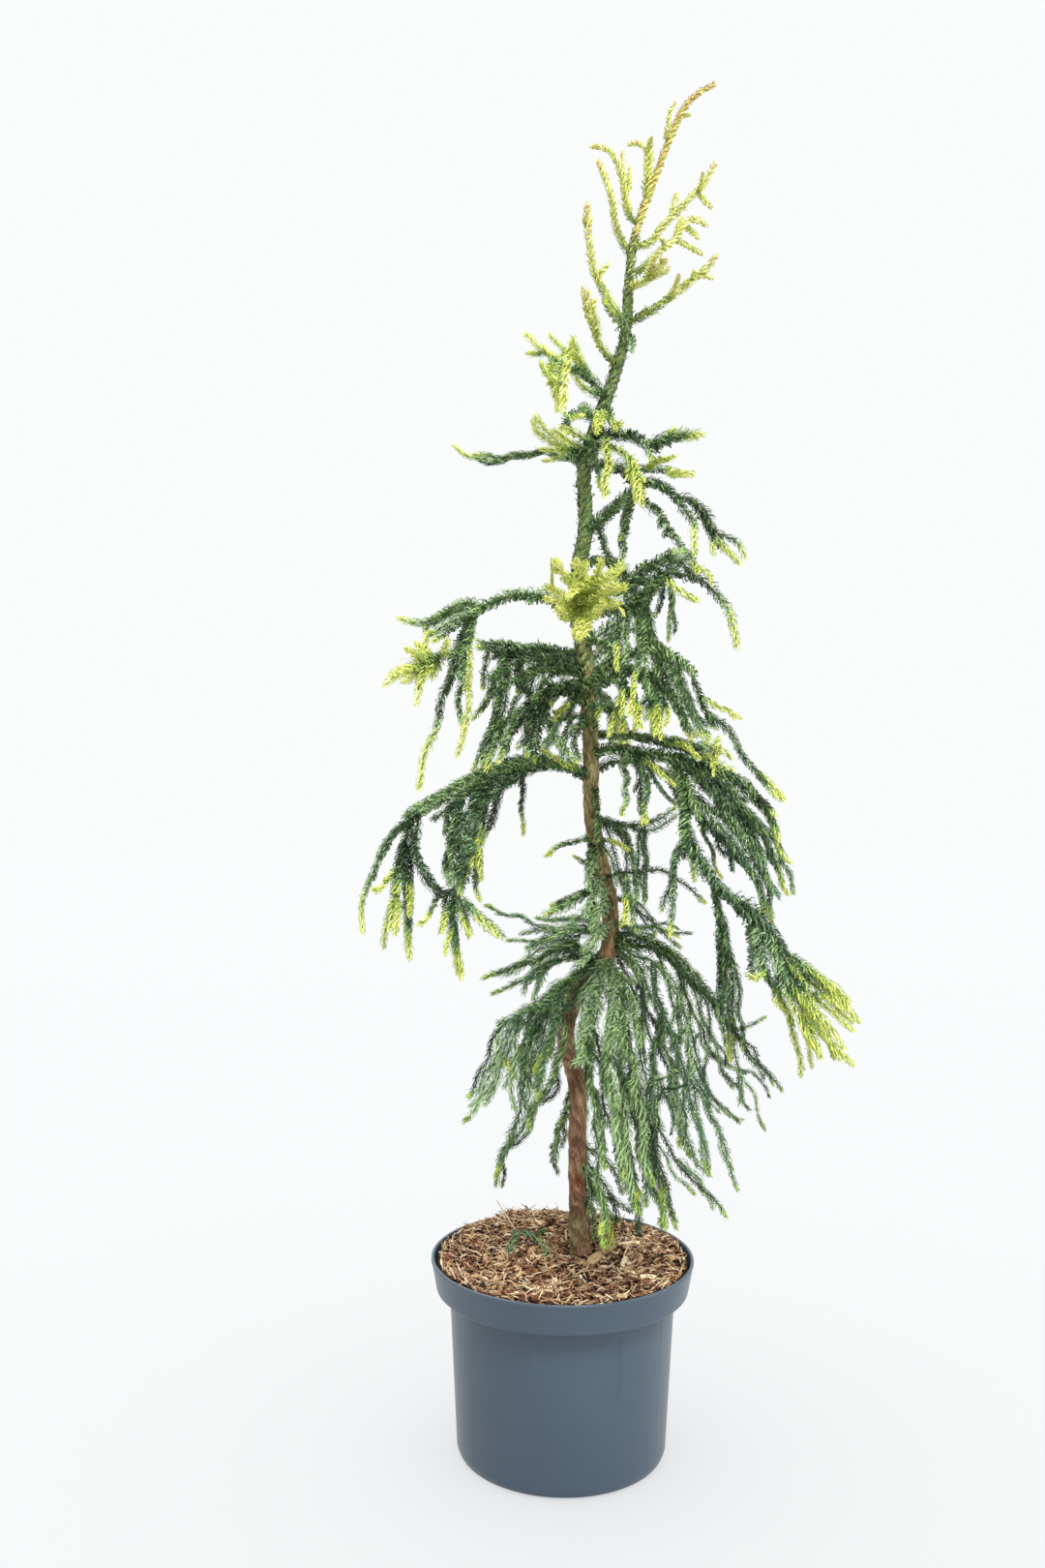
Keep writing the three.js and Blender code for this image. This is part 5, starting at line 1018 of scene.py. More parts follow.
def build_needles():
    A = {k: np.concatenate([b[k] for b in beds]) for k in beds[0]}
    total = 0
    for number, name in enumerate(NAMES):
        parts = []
        for bends in (3, 2):
            m = (A["tone"] == number) & (A["bends"] == bends)
            n = int(m.sum())
            if n == 0:
                continue
            B = {k: v[m] for k, v in A.items()}
            stations = (0, .22, .47, .74, 1.0) if bends == 3 else (0, .30, .65, 1.0)
            last = len(stations) - 1
            centres = []
            for u in stations:
                rho = B["stem"] + B["height"] * np.sin(math.pi * np.minimum(u * B["hook"], .999)) / np.where(B["hook"] > .5, 1, np.sin(math.pi * B["hook"]))
                phi = B["theta"] + B["turn"] * u ** 1.15
                ax = B["ahead"] * u ** 1.05
                centres.append(B["P"] + ax[:, None] * B["T"] + rho[:, None] * (np.cos(phi)[:, None] * B["R"] + np.sin(phi)[:, None] * B["Q"]))
            C = np.stack(centres, 1)
            D = np.empty_like(C)
            D[:, 0] = C[:, 1] - C[:, 0]
            D[:, -1] = C[:, -1] - C[:, -2]
            for j in range(1, last):
                D[:, j] = C[:, j + 1] - C[:, j - 1]
            D /= np.linalg.norm(D, axis=2)[..., None] + 1e-9
            off = C - B["P"][:, None]
            out = off - (off * B["T"][:, None]).sum(2)[..., None] * B["T"][:, None]
            E = np.cross(D, out)
            E /= np.linalg.norm(E, axis=2)[..., None] + 1e-9
            H = np.cross(E, D)
            widths = (.80, 1.0, .95, .66) if bends == 3 else (.85, 1.0, .74)
            w = last * 2 + 1
            V = np.empty((n, w, 3))
            for j in range(last):
                roll = B["roll"] * (.15 + .85 * stations[j])
                across = np.cos(roll)[:, None] * E[:, j] + np.sin(roll)[:, None] * H[:, j]
                half = (B["thick"] * widths[j])[:, None]
                V[:, j * 2] = C[:, j] - across * half
                V[:, j * 2 + 1] = C[:, j] + across * half
            V[:, w - 1] = C[:, -1]
            f = []
            for j in range(last - 1):
                p = j * 2
                f += [(p, p + 1, p + 3), (p, p + 3, p + 2)]
            f.append((w - 3, w - 2, w - 1))
            f = np.array(f)
            size = 190000 // len(f)
            for lo in range(0, n, size):
                hi = min(n, lo + size)
                parts.append((V[lo:hi].reshape(-1, 3), (f[None] + (np.arange(hi - lo) * w)[:, None, None]).reshape(-1, 3)))
        packed, room = [], 0
        for part in parts:
            if packed and room + len(part[1]) < 195000:
                packed[-1].append(part)
                room += len(part[1])
            else:
                packed.append([part])
                room = len(part[1])
        for c, some in enumerate(packed):
            V, F = join(some)
            total += len(F)
            ob = mesh_object(f"needles_{name}" + (f"_{c + 1}" if len(packed) > 1 else ""), V, F, needle_material(name))
            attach(ob, "root")
            slot = "needles_gold" if name in GOLDEN else "needles_grey" if name in ("grey", "mist", "leaf", "moss") else "needles_dark"
            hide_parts(*[x for x in frame["nodes"] if x.startswith("mass_") and mass_slot.get(x) == slot])
    return total


GOLDEN = {"fresh", "lime", "gold", "pale", "bronze", "rose", "straw"}
mass_slot = {p["node"]: p["material_slot"] for p in frame["record"]["subparts"]}
_materials = {}


def needle_material(name):
    if name not in _materials:
        _materials[name] = principled("needle_" + name, TONES[name], .45 if name not in GOLDEN else .5, .28 if name not in GOLDEN else .4)
    return _materials[name]


def stem_tube(line, r0, r1, tone, sides=4):
    t = line.u / line.length
    stems.append((*tube(line, r0 + (r1 - r0) * t, sides, foot=False), tone))


def dress(name, points, reach, kind, gold, group, rng, stem_r, from_=0.0, level=0, bends=3, behind=False, wood=None):
    """One shoot: its stem, its needles and its short side sprigs."""
    top = group in TOP
    reach = reach * (.90 if top else 1 if level > 1 else SLIM[kind]) * (.42 if name in SPIKES else .8 if name == "L0" else WIDE.get(group, 1) if level < 2 else 1)
    points = np.asarray(points, float)
    if level < 2:
        run = np.r_[0, np.cumsum(np.linalg.norm(np.diff(points, axis=0), axis=1))]
        sway = min(1.5, run[-1] / 70) * (.5 if top else 1.9 if kind == "l" else 1.15)
        for axis in range(3):
            points[1:, axis] += sway * np.sin(TAU * (run[1:] / rng.uniform(24, 60) + rng.random())) * np.clip(run[1:] / 15, 0, 1) * rng.uniform(.3, 1)
    line = Line(points, 4.2 if level == 0 else 3.4, smooth=1)
    L = line.length
    thin = max(.35, stem_r * .4)
    stem_tube(line, stem_r * (.8 if kind == "l" else 1), thin, "lime" if top or gold < .25 else "grey" if kind == "l" else "green")
    style = STYLE["t"] if top else STYLE["r"] if group.startswith("skirt_right") else STYLE["c"] if group.startswith("centre") else LOOSE.get(group, STYLE[kind])
    tf = lambda t: tones_for(t, kind, gold, group, rng, behind)
    if top or gold > 1:
        coat(line, reach, style, tf, rng, start=from_, stem=wood or stem_r, bends=bends, density=1.5 if wood else 1)
    else:
        g = max(gold - .03, from_)
        coat(line, reach, style, tf, rng, start=from_, stop=g, stem=wood or stem_r, bends=bends, density=1.5 if wood else 1)
        coat(line, reach * .96, LOOSE.get(group, STYLE["g"]), tf, rng, start=g, stop=1, stem=thin, blunt_start=False, bends=bends)
    if level > 1:
        return
    many, shortest, longest = SPRIGS.get(group, SPRIGS["l"] if kind == "l" else SPRIGS["d"])
    count = rng.poisson(max(L - 14, 0) * many * (1 if level == 0 else .5))
    for _ in range(count):
        t = rng.uniform(.12, .93)
        P, T, R, Q = [v[0] for v in line.at(np.array([t * L]))]
        a = rng.uniform(0, TAU)
        lean = math.radians(rng.uniform(28, 62))
        d = T * math.cos(lean) + (R * math.cos(a) + Q * math.sin(a)) * math.sin(lean)
        n = 5
        l = rng.uniform(shortest, longest) * (1 - .35 * t)
        pts = [P]
        for i in range(n):
            d = d + T * .14 + np.array([0, 0, -.08 if not top else .07]) + rng.normal(0, .07, 3)
            d /= np.linalg.norm(d)
            pts.append(pts[-1] + d * l / n)
        gg = .15 if t > gold - .08 else gold if gold > 1 else max(.55, min(1.2, gold + .1))
        dress(name, pts, reach * rng.uniform(.66, .86), kind, gg, group, rng, stem_r * .6, level=level + 2, bends=2 if level else bends, behind=behind)


SLIM = {"d": .965, "m": .96, "l": 1.02}
WIDE = {"front_gold": 1.3, "left_high_gold": 1.3, "skirt_right_front": .85, "skirt_right_mid": .86, "skirt_right_mid_low": .84, "skirt_right_back": .83,
        "skirt_right_back_arm": .86, "skirt_right_tips": .83, "skirt_right_low": .86, "skirt_back": .80, "centre_arm": .92, "centre_front_drop": .86,
        "centre_back_drop": .78, "centre_arm_low": .86, "centre_arm_low_back": .82, "high_right": 1.12, "high_arms": 1.1, "right_high_tips": 1.14, "high_front": 1.08, "right_low_front": .80, "right_low_fan": .84, "right_low_fan_back": .82,
        "right_low_tail": .86, "right_mid_tips": .86, "right_mid_drop": .88, "right_band_drop": .88, "inner_right_front": .9}
SPIKES = {"G7", "zG7"}     # thin shoots out of the golden clump
# side sprigs per mm, shortest, longest
SPRIGS = {
    "d": (.006, 7, 14), "l": (.007, 7, 15), "cut_sprig": (.03, 6, 12), "front_gold": (.008, 8, 14), "left_high_gold": (.03, 6, 12),
    "gold_right": (.03, 6, 13), "top_left": (.008, 4, 8), "top_right": (.012, 4, 8), "shoulder_left": (.02, 5, 12),
    "shoulder_right": (.015, 5, 11), "high_left": (.03, 6, 14), "high_front": (.03, 6, 13), "skirt_front": (.03, 8, 18),
    "skirt_front_long": (.018, 8, 18), "skirt_front_low": (.015, 8, 18), "right_gold_fan": (.02, 7, 14), "skirt_left_inner": (.018, 8, 18),
}

for i, (name, row) in enumerate(SHOOTS.items()):
    parent, at, length, pitch, swing, reach, gold, kind, group = row
    rng = np.random.default_rng(1000 + i)
    if name in bough_radius:
        r0, r1, b = bough_radius[name]
        dress(name, paths[name], reach + .7, kind, gold, group, rng, r1 + .1, wood=lambda t, r0=r0, r1=r1, b=b: np.interp(t, (0, b), (r0, r1)))
    else:
        dress(name, paths[name], reach, kind, gold, group, rng, min(.55 + length / 190, 1.35))

# Beside most shoots run companions: they leave the same wood, keep to the same fall, and lean to the front
# or the back, so that the crown is as deep as it is wide. COMPANIONS: how many to each 100 mm, how far they
# stray sideways (mm), and how far they lean in depth, as a share of their length.
COMPANIONS = {"d": (1.2, 13, .55), "m": (1.0, 12, .5), "l": (.5, 15, .55), "top_left": (0, 3, .3), "top_right": (0, 3, .3),
              "shoulder_left": (.3, 4, .4), "shoulder_right": (.3, 4, .4), "gold_right": (.3, 4, .4), "front_gold": (0, 4, .3),
              "skirt_front": (.25, 12, .5), "skirt_front_long": (.2, 12, .5), "skirt_front_low": (.2, 12, .5),
              "skirt_right_front": (.1, 12, .5), "skirt_right_mid": (.1, 12, .5),
              "skirt_right_mid_low": (.1, 10, .5), "skirt_right_tips": (0, 10, .5), "skirt_right_low": (.2, 10, .5), "skirt_right_back_arm": (.3, 10, .5),
              "right_low_fan": (.7, 10, .5), "right_low_arm": (.7, 10, .5), "centre_arm": (.25, 8, .5), "centre_front_drop": (0, 6, .5), "centre_back_drop": (.2, 8, .5), "centre_arm_low": (.3, 8, .5),
              "right_low_front": (.3, 8, .5), "right_band": (.5, 10, .5), "right_band_low": (.5, 10, .5), "right_band_drop": (.4, 8, .5), "left_mid_clump": (.8, 10, .5), "high_left": (.6, 8, .5),
              "high_front": (.5, 8, .5)}
BOX_LOW, BOX_HIGH = np.array([-172.0, -172.0, 172.0]), np.array([240.0, 182.0, 1150.0])


SINGLE = {"L5e", "L1k", "L1l", "L1w", "L1v", "L1x", "J1", "J2", "E1", "H2", "Q1a", "L4a", "R4w", "M1", "M2", "M3", "M4", "M5", "M6"}     # lone thin whips


def companions(name, row, rng):
    parent, at, length, pitch, swing, reach, gold, kind, group = row
    many, stray, depth = COMPANIONS.get(group, COMPANIONS[kind])
    if length < 40 or many == 0 or name in SINGLE:
        return
    many *= .25 if name[0] == "z" else .8
    if reach < 4.3 and kind == "d":
        stray = min(stray, 4)
    path = paths[name]
    for _ in range(rng.poisson(many * length / 100)):
        for attempt in range(6):
            t0, t1 = rng.uniform(0, .4), rng.uniform(.72, 1.0)
            w = np.linspace(t0, t1, 20)
            pts = np.array([along(path, t) for t in w])
            run = (w - t0) * length
            u = run / run[-1]
            lean = rng.choice([-1, 1]) * rng.uniform(.15, 1) * depth
            side = rng.choice([-1, 1]) * rng.uniform(.3, 1) * stray
            wave = rng.uniform(1.5, 4.5) * np.sin(TAU * (u * rng.uniform(.8, 1.8) + rng.random()))
            ease = u ** .8
            pts = pts + np.stack([(side + wave) * ease, lean * run * (1 - .35 * u), (rng.normal(0, 2.5) + .5 * wave) * ease - .02 * run * abs(lean)], 1)
            if (pts > BOX_LOW).all() and (pts < BOX_HIGH).all():
                break
        else:
            continue
        gg = gold if gold > 1 else min(1.0, gold + rng.uniform(-.05, .2))
        dress(name, pts, reach * rng.uniform(.8, .98), kind, gg, group, rng, min(.5 + length / 230, 1.1), level=1, bends=2, behind=lean > 0)


for i, (name, row) in enumerate(SHOOTS.items()):
    companions(name, row, np.random.default_rng(5000 + i))

# the young upper stem carries long needles pressed round it, and the leader short golden ones
rng = np.random.default_rng(5)
stem_radius_at = lambda s: girth(s / trunk_line.length)


def trunk_coat(start, stop, reach, style, tone_of, density, extra=0.0):
    before = len(beds)
    coat(trunk_line, reach, style, tone_of, rng, start=start, stop=stop, stem=1.0, density=density, blunt_start=False)
    b = beds[before]
    s = np.linspace(start, stop, len(b["P"]))
    b["stem"] = girth(s) * .93
    b["height"] = reach * rng.normal(1, .25, len(s)).clip(.4, 1.9)
    return b


def stem_tones(t):
    n = len(t)
    wave = np.sin(np.arange(n) * .9) * .5 + rng.normal(0, .8, n)
    return np.array([NUMBER[k] for k in ("deep", "olive", "dark", "olive", "mid", "moss")])[np.clip(np.round(2.2 + wave), 0, 5).astype(int)]


def leader_tones(t):
    n = len(t)
    x = rng.random(n)
    k = np.interp(t, (.84, .90, .95, 1), (.10, .32, .55, .85))
    tones = np.where(x < k * .78, NUMBER["bronze"], np.where(x < k, NUMBER["rose"],
            np.where(rng.random(n) < .6, NUMBER["straw"], np.where(rng.random(n) < .5, NUMBER["lime"], NUMBER["moss"]))))
    low = (t < .86) & (rng.random(n) < np.interp(t, (.74, .86), (1, 0)))
    return np.where(low, rng.choice([NUMBER["dark"], NUMBER["olive"], NUMBER["leaf"], NUMBER["moss"]], n), tones)


trunk_coat(.45, .81, 1.3, (1.0, 9.0, .95, .90, .85), stem_tones, 2.9)
trunk_coat(.44, .80, 3.0, (1.0, 6.0, 1.3, .86, .50), stem_tones, .7)
trunk_coat(.20, .46, 1.3, (1.0, 7.5, .9, .90, .6), stem_tones, .5)
trunk_coat(.81, .86, 1.4, (1.4, 7.5, 1.0, .88, .7), stem_tones, 1.8)
trunk_coat(.80, .90, 1.4, (1.5, 4.6, 1.2, .8, .55), leader_tones, .7)
trunk_coat(.87, .94, 1.6, (2.6, 3.8, 1.1, .76, .52), leader_tones, 1.4)
trunk_coat(.94, 1.0, 1.9, (2.6, 3.4, 1.1, .76, .52), leader_tones, 1.5)

rng = np.random.default_rng(31)
sprig = np.array([(-47.6, -16.1, 167.5), (-45.5, -6, 172), (-41, 4, 177.5), (-33.1, 10, 180.5), (-23.2, 6.6, 178.5), (-16.5, -3, 173.5), (-13.5, -11.5, 168.5)])
dress("sprig", sprig, 3.6, "l", 2, "cut_sprig", rng, .6)
dress("sprig", [sprig[4], (-20, 14, 179), (-15.5, 20, 178)], 3.2, "l", 2, "cut_sprig", rng, .5, level=2)

needle_triangles = build_needles()

for tone, base in (("green", "#4a5433"), ("grey", "#44583a"), ("lime", "#a09f50")):
    some = [(v, f) for v, f, k in stems if k == tone]
    V, F = join(some)
    m = principled("stem_" + tone, base, .7, .3)
    ob = mesh_object("shoot_stems_" + tone, V, F, m)
    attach(ob, "root")
    print("stems", tone, len(F))
print("needle triangles", needle_triangles)

# ------------------------------------------------------------------------------------------------ pot
LABEL_AT, LABEL_HALF, LABEL_TOP, LABEL_LOW, LABEL_DEEP = math.radians(7.5), math.radians(20.9), 130.4, 62.0, 1.25


def rounded(corners, step=.8):
    """A profile through (radius, height, corner radius) with its corners rounded."""
    out = []
    for i, (r, z, c) in enumerate(corners):
        p = np.array([r, z], float)
        if c == 0 or i in (0, len(corners) - 1):
            out.append(p)
            continue
        a = np.array(corners[i - 1][:2], float) - p
        b = np.array(corners[i + 1][:2], float) - p
        la, lb = np.linalg.norm(a), np.linalg.norm(b)
        a, b = a / la, b / lb
        half = math.acos(np.clip(a @ b, -1, 1)) / 2
        d = min(c / math.tan(half), la * .48, lb * .48)
        n = max(2, int(c / step) + 2)
        for t in np.linspace(0, 1, n + 1):
            out.append((1 - t) ** 2 * (p + a * d) + 2 * t * (1 - t) * p + t * t * (p + b * d))
    return out


def subdivide(points, longest):
    out = [points[0]]
    for a, b in zip(points, points[1:]):
        n = max(1, int(math.ceil(np.linalg.norm(b - a) / longest)))
        out += [a + (b - a) * (j + 1) / n for j in range(n)]
    return np.array(out)


outside = rounded([(73, 1.1, 0), (74.6, 1.1, .4), (76, 0, .6), (82.5, 0, 2.5), (86.6, 1.6, 2), (88.6, 6.8, 4), (94.0, 116, 0), (95.3, BAND_FOOT - 2.4, .8),
                   (96.0, BAND_FOOT - .6, .6), (105.2, BAND_FOOT - .3, .8), (106.4, BAND_FOOT + .9, .7), (110.4, POT_HEIGHT - 3.2, 1.5),
                   (110.9, POT_HEIGHT - 2.6, .5), (110.9, POT_HEIGHT - .4, .7), (110.3, POT_HEIGHT, .5), (108.5, POT_HEIGHT, .6),
                   (108.1, POT_HEIGHT - 1.6, .5), (104.1, BAND_FOOT + 2.6, 1), (93.3, BAND_FOOT + .4, 1), (86.3, 8.2, 3), (79.6, 2.7, 3), (73, 2.7, 0)])
profile = subdivide(outside, 4.0)
SIDES = 224
ang = np.arange(SIDES) / SIDES * TAU
rr = np.repeat(profile[:, 0][:, None], SIDES, 1)
zz = np.repeat(profile[:, 1][:, None], SIDES, 1)
aa = np.repeat(ang[None], len(profile), 0)


def smooth01(x):
    x = np.clip(x, 0, 1)
    return x * x * (3 - 2 * x)


# finer rings where the label panel's ledge falls
lower = np.argmax(profile[:, 0] >= 88.5)
top_out = int(np.argmin(np.abs(profile[:, 1] - (BAND_FOOT - 2.4)) + np.abs(profile[:, 0] - 95.3)))
wall_z = np.unique(np.r_[np.linspace(profile[lower, 1], LABEL_LOW - 2, 10), np.linspace(LABEL_LOW - 2, LABEL_LOW + 3, 7), np.linspace(LABEL_LOW + 3, LABEL_TOP - 1.2, 16),
                         np.linspace(LABEL_TOP - 1.2, LABEL_TOP + .8, 9), profile[top_out, 1]])
wall_r = np.interp(wall_z, [profile[lower, 1], 116, profile[top_out, 1]], [profile[lower, 0], 94.0, profile[top_out, 0]])
profile = np.vstack([profile[:lower + 1], np.stack([wall_r, wall_z], 1)[1:], profile[top_out + 1:]])
rr = np.repeat(profile[:, 0][:, None], SIDES, 1)
zz = np.repeat(profile[:, 1][:, None], SIDES, 1)
# angles crowd together at the panel's two edges
front = math.radians(-90)
ang = np.arange(SIDES) / SIDES * TAU + front
for edge in (LABEL_AT - LABEL_HALF, LABEL_AT + LABEL_HALF):
    d = (ang - front - edge + math.pi) % TAU - math.pi
    ang = ang - .020 * np.sin(np.clip(d / math.radians(7), -1, 1) * math.pi) * .5
aa = np.repeat(ang[None], len(profile), 0)
is_wall = np.zeros(len(profile), bool)
is_wall[lower:lower + len(wall_z)] = True
turn = (aa - front + math.pi) % TAU - math.pi
inside_x = smooth01((LABEL_HALF - np.abs(turn - LABEL_AT)) / math.radians(.5) + .5)
inside_z = smooth01((LABEL_TOP - zz) / .5 + .5) * np.clip((zz - LABEL_LOW) / (LABEL_TOP - LABEL_LOW), 0, 1) ** .8      # it fades out downwards
rr = rr - LABEL_DEEP * inside_x * inside_z * is_wall[:, None]
seam = np.exp(-((turn - math.radians(59.3)) / math.radians(.28)) ** 2) + np.exp(-((turn + math.radians(120.7)) / math.radians(.28)) ** 2)
rr = rr + .22 * seam * is_wall[:, None]
rr = rr + .10 * np.sin(2 * aa + 1.1) * (zz / POT_HEIGHT)
V = np.stack([rr * np.cos(aa), rr * np.sin(aa), zz], -1).reshape(-1, 3)
rings = len(profile)
i, k = np.meshgrid(np.arange(rings - 1), np.arange(SIDES), indexing="ij")
a, b = i * SIDES + k, i * SIDES + (k + 1) % SIDES
F = np.stack([a, b, b + SIDES, a + SIDES], -1).reshape(-1, 4)[:, ::-1]


def floor_disc(z, flip):
    """The pot's flat floor with its round drain holes."""
    nr, na = 34, SIDES
    hole_angles = [math.radians(45 + 90 * j) for j in range(4)]
    verts, faces = [], []
    r = np.linspace(0, 73.0, nr)
    g = np.stack(np.meshgrid(r, ang, indexing="ij"), -1)
    x, y = g[..., 0] * np.cos(g[..., 1]), g[..., 0] * np.sin(g[..., 1])
    for h in hole_angles:
        cx, cy = DRAIN_CIRCLE * math.cos(h), DRAIN_CIRCLE * math.sin(h)
        dx, dy = x - cx, y - cy
        d = np.hypot(dx, dy) + 1e-6
        near = (d < DRAIN_RADIUS * 2) & (d >= DRAIN_RADIUS * .55)
        push = np.where(near & (d < DRAIN_RADIUS * 1.25), DRAIN_RADIUS / d, 1)
        x, y = cx + dx * push, cy + dy * push
    verts = np.stack([x, y, np.full_like(x, z)], -1).reshape(-1, 3)
    ii, kk = np.meshgrid(np.arange(nr - 1), np.arange(na), indexing="ij")
    a, b = ii * na + kk, ii * na + (kk + 1) % na
    faces = np.stack([a, b, b + na, a + na], -1).reshape(-1, 4)
    mid = verts[faces].mean(1)
    keep = np.ones(len(faces), bool)
    for h in hole_angles:
        cx, cy = DRAIN_CIRCLE * math.cos(h), DRAIN_CIRCLE * math.sin(h)
        keep &= np.hypot(mid[:, 0] - cx, mid[:, 1] - cy) > DRAIN_RADIUS * .97
    faces = faces[keep]
    return verts, faces if not flip else faces[:, ::-1]


def pot_material():
    m = principled("pot_plastic", "#43566a", .34, .62)
    nt = m.node_tree
    N, L = nt.nodes, nt.links
    bsdf = N["Principled BSDF"]
    co = N.new("ShaderNodeTexCoord").outputs["Object"]
    cloud = N.new("ShaderNodeTexNoise")
    cloud.inputs["Scale"].default_value = 9
    cloud.inputs["Detail"].default_value = 4
    L.new(co, cloud.inputs["Vector"])
    mp = N.new("ShaderNodeMapping")
    mp.inputs["Scale"].default_value = (1, 1, .16)
    L.new(co, mp.inputs["Vector"])
    drawn = N.new("ShaderNodeTexNoise")
    drawn.inputs["Scale"].default_value = 160
    drawn.inputs["Detail"].default_value = 3
    L.new(mp.outputs["Vector"], drawn.inputs["Vector"])
    ramp = N.new("ShaderNodeValToRGB")
    ramp.color_ramp.elements[0].position = .3
    ramp.color_ramp.elements[0].color = linear("#384958")
    ramp.color_ramp.elements[1].position = .72
    ramp.color_ramp.elements[1].color = linear("#3f515f")
    L.new(cloud.outputs["Fac"], ramp.inputs["Fac"])
    # painted shade: the plastic's colour darkens towards the foot (#354656 at the bottom), standing in for the shade
    # low on the pot
    sep = N.new("ShaderNodeSeparateXYZ")
    L.new(co, sep.inputs["Vector"])
    fall = N.new("ShaderNodeMapRange")
    fall.inputs["From Min"].default_value = 0
    fall.inputs["From Max"].default_value = .135
    fall.interpolation_type = "SMOOTHSTEP"
    L.new(sep.outputs["Z"], fall.inputs["Value"])
    mix = N.new("ShaderNodeMix")
    mix.data_type = "RGBA"
    mix.inputs[6].default_value = linear("#354656")
    L.new(fall.outputs["Result"], mix.inputs[0])
    L.new(ramp.outputs["Color"], mix.inputs[7])
    dust = N.new("ShaderNodeTexNoise")
    dust.inputs["Scale"].default_value = 950
    dust.inputs["Detail"].default_value = 2
    L.new(co, dust.inputs["Vector"])
    speck = N.new("ShaderNodeMapRange")
    speck.inputs["From Min"].default_value = .66
    speck.inputs["From Max"].default_value = .74
    speck.inputs["To Max"].default_value = .10
    L.new(dust.outputs["Fac"], speck.inputs["Value"])
    mix2 = N.new("ShaderNodeMix")
    mix2.data_type = "RGBA"
    mix2.inputs[7].default_value = linear("#8b959c")
    L.new(speck.outputs["Result"], mix2.inputs[0])
    L.new(mix.outputs[2], mix2.inputs[6])
    L.new(mix2.outputs[2], bsdf.inputs["Base Color"])
    rough = N.new("ShaderNodeMapRange")
    rough.inputs["To Min"].default_value = .27
    rough.inputs["To Max"].default_value = .40
    L.new(cloud.outputs["Fac"], rough.inputs["Value"])
    L.new(rough.outputs["Result"], bsdf.inputs["Roughness"])
    bump = N.new("ShaderNodeBump")
    bump.inputs["Strength"].default_value = .06
    bump.inputs["Distance"].default_value = .0004
    L.new(drawn.outputs["Fac"], bump.inputs["Height"])
    L.new(bump.outputs["Normal"], bsdf.inputs["Normal"])
    return m


plastic = pot_material()
pot = mesh_object("pot_shell", V, F, plastic)
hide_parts("pot")
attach(pot, "root")
under = floor_disc(1.1, True)
inner = floor_disc(2.7, False)
bores = []
for j in range(4):
    h = math.radians(45 + 90 * j)
    cx, cy = DRAIN_CIRCLE * math.cos(h), DRAIN_CIRCLE * math.sin(h)
    t = np.arange(40) / 40 * TAU
    ring = lambda z, r: np.stack([cx + r * np.cos(t), cy + r * np.sin(t), np.full(40, z)], 1)
    v = np.vstack([ring(.5, DRAIN_RADIUS + 1.7), ring(.5, DRAIN_RADIUS), ring(3.1, DRAIN_RADIUS), ring(3.1, DRAIN_RADIUS + 1.7)])
    q = np.arange(40)
    w = (q + 1) % 40
    f = np.concatenate([np.stack([q + 40 * s, w + 40 * s, w + 40 * (s + 1), q + 40 * (s + 1)], 1) for s in range(3)]
                       + [np.stack([q + 120, w + 120, w, q], 1)])
    bores.append((v, f))
base = mesh_object("pot_floor", *join([under, inner] + bores), plastic, smooth=False)
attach(base, "root")

# ------------------------------------------------------------------------------------------------ mulch
rng = np.random.default_rng(77)


def heap(x, y):
    r = np.hypot(x, y)
    z = np.interp(r, [0, 34, 62, 86, 101, 106, 108], [SOIL_TOP, SOIL_TOP, 165.3, 164.0, 162.5, 161.3, 160.8])
    flat = np.stack([x, y, 0 * x], -1).reshape(-1, 3)
    z = z + (1.5 * ripple(flat, 46, 3) + .9 * ripple(flat, 17, 4)).reshape(x.shape) * np.clip((r - 14) / 22, 0, 1) * np.clip((112 - r) / 12, .3, 1)
    z = z + 10.5 * np.exp(-((x + 30) ** 2 + (y - 62) ** 2) / 34 ** 2) + 3.0 * np.exp(-((x - 18) ** 2 + (y - 72) ** 2) / 24 ** 2)
    z = z + 3.0 * np.exp(-((x + 78) ** 2 + (y - 14) ** 2) / 26 ** 2)
    return z


nr, na = 64, 180
r = np.linspace(0, 106.0, nr)
g = np.arange(na) / na * TAU
R2, G2 = np.meshgrid(r, g, indexing="ij")
x, y = R2 * np.cos(G2), R2 * np.sin(G2)
z = heap(x, y) - 1.6 + .55 * ripple(np.stack([x, y, 0 * x], -1).reshape(-1, 3), 5.5, 9).reshape(x.shape)
V = np.stack([x, y, z], -1).reshape(-1, 3)
i, k = np.meshgrid(np.arange(nr - 1), np.arange(na), indexing="ij")
a, b = i * na + k, i * na + (k + 1) % na
F = np.stack([a, a + na, b + na, b], -1).reshape(-1, 4)
rim_ring = V[-na:]
lows = [(105.0, 156.0), (103.0, 144.0), (92.0, 139.6), (85.4, 9.0), (79.0, 3.4), (0.01, 3.4)]
extra = [np.stack([q * np.cos(g), q * np.sin(g), np.full(na, h)], 1) for q, h in lows]
V = np.vstack([V] + extra)
n0 = nr * na
for j in range(len(lows)):
    a = (n0 - na if j == 0 else n0 + (j - 1) * na) + np.arange(na)
    b = (n0 - na if j == 0 else n0 + (j - 1) * na) + (np.arange(na) + 1) % na
    c = n0 + j * na + np.arange(na)
    d = n0 + j * na + (np.arange(na) + 1) % na
    F = np.vstack([F, np.stack([a, c, d, b], 1)])


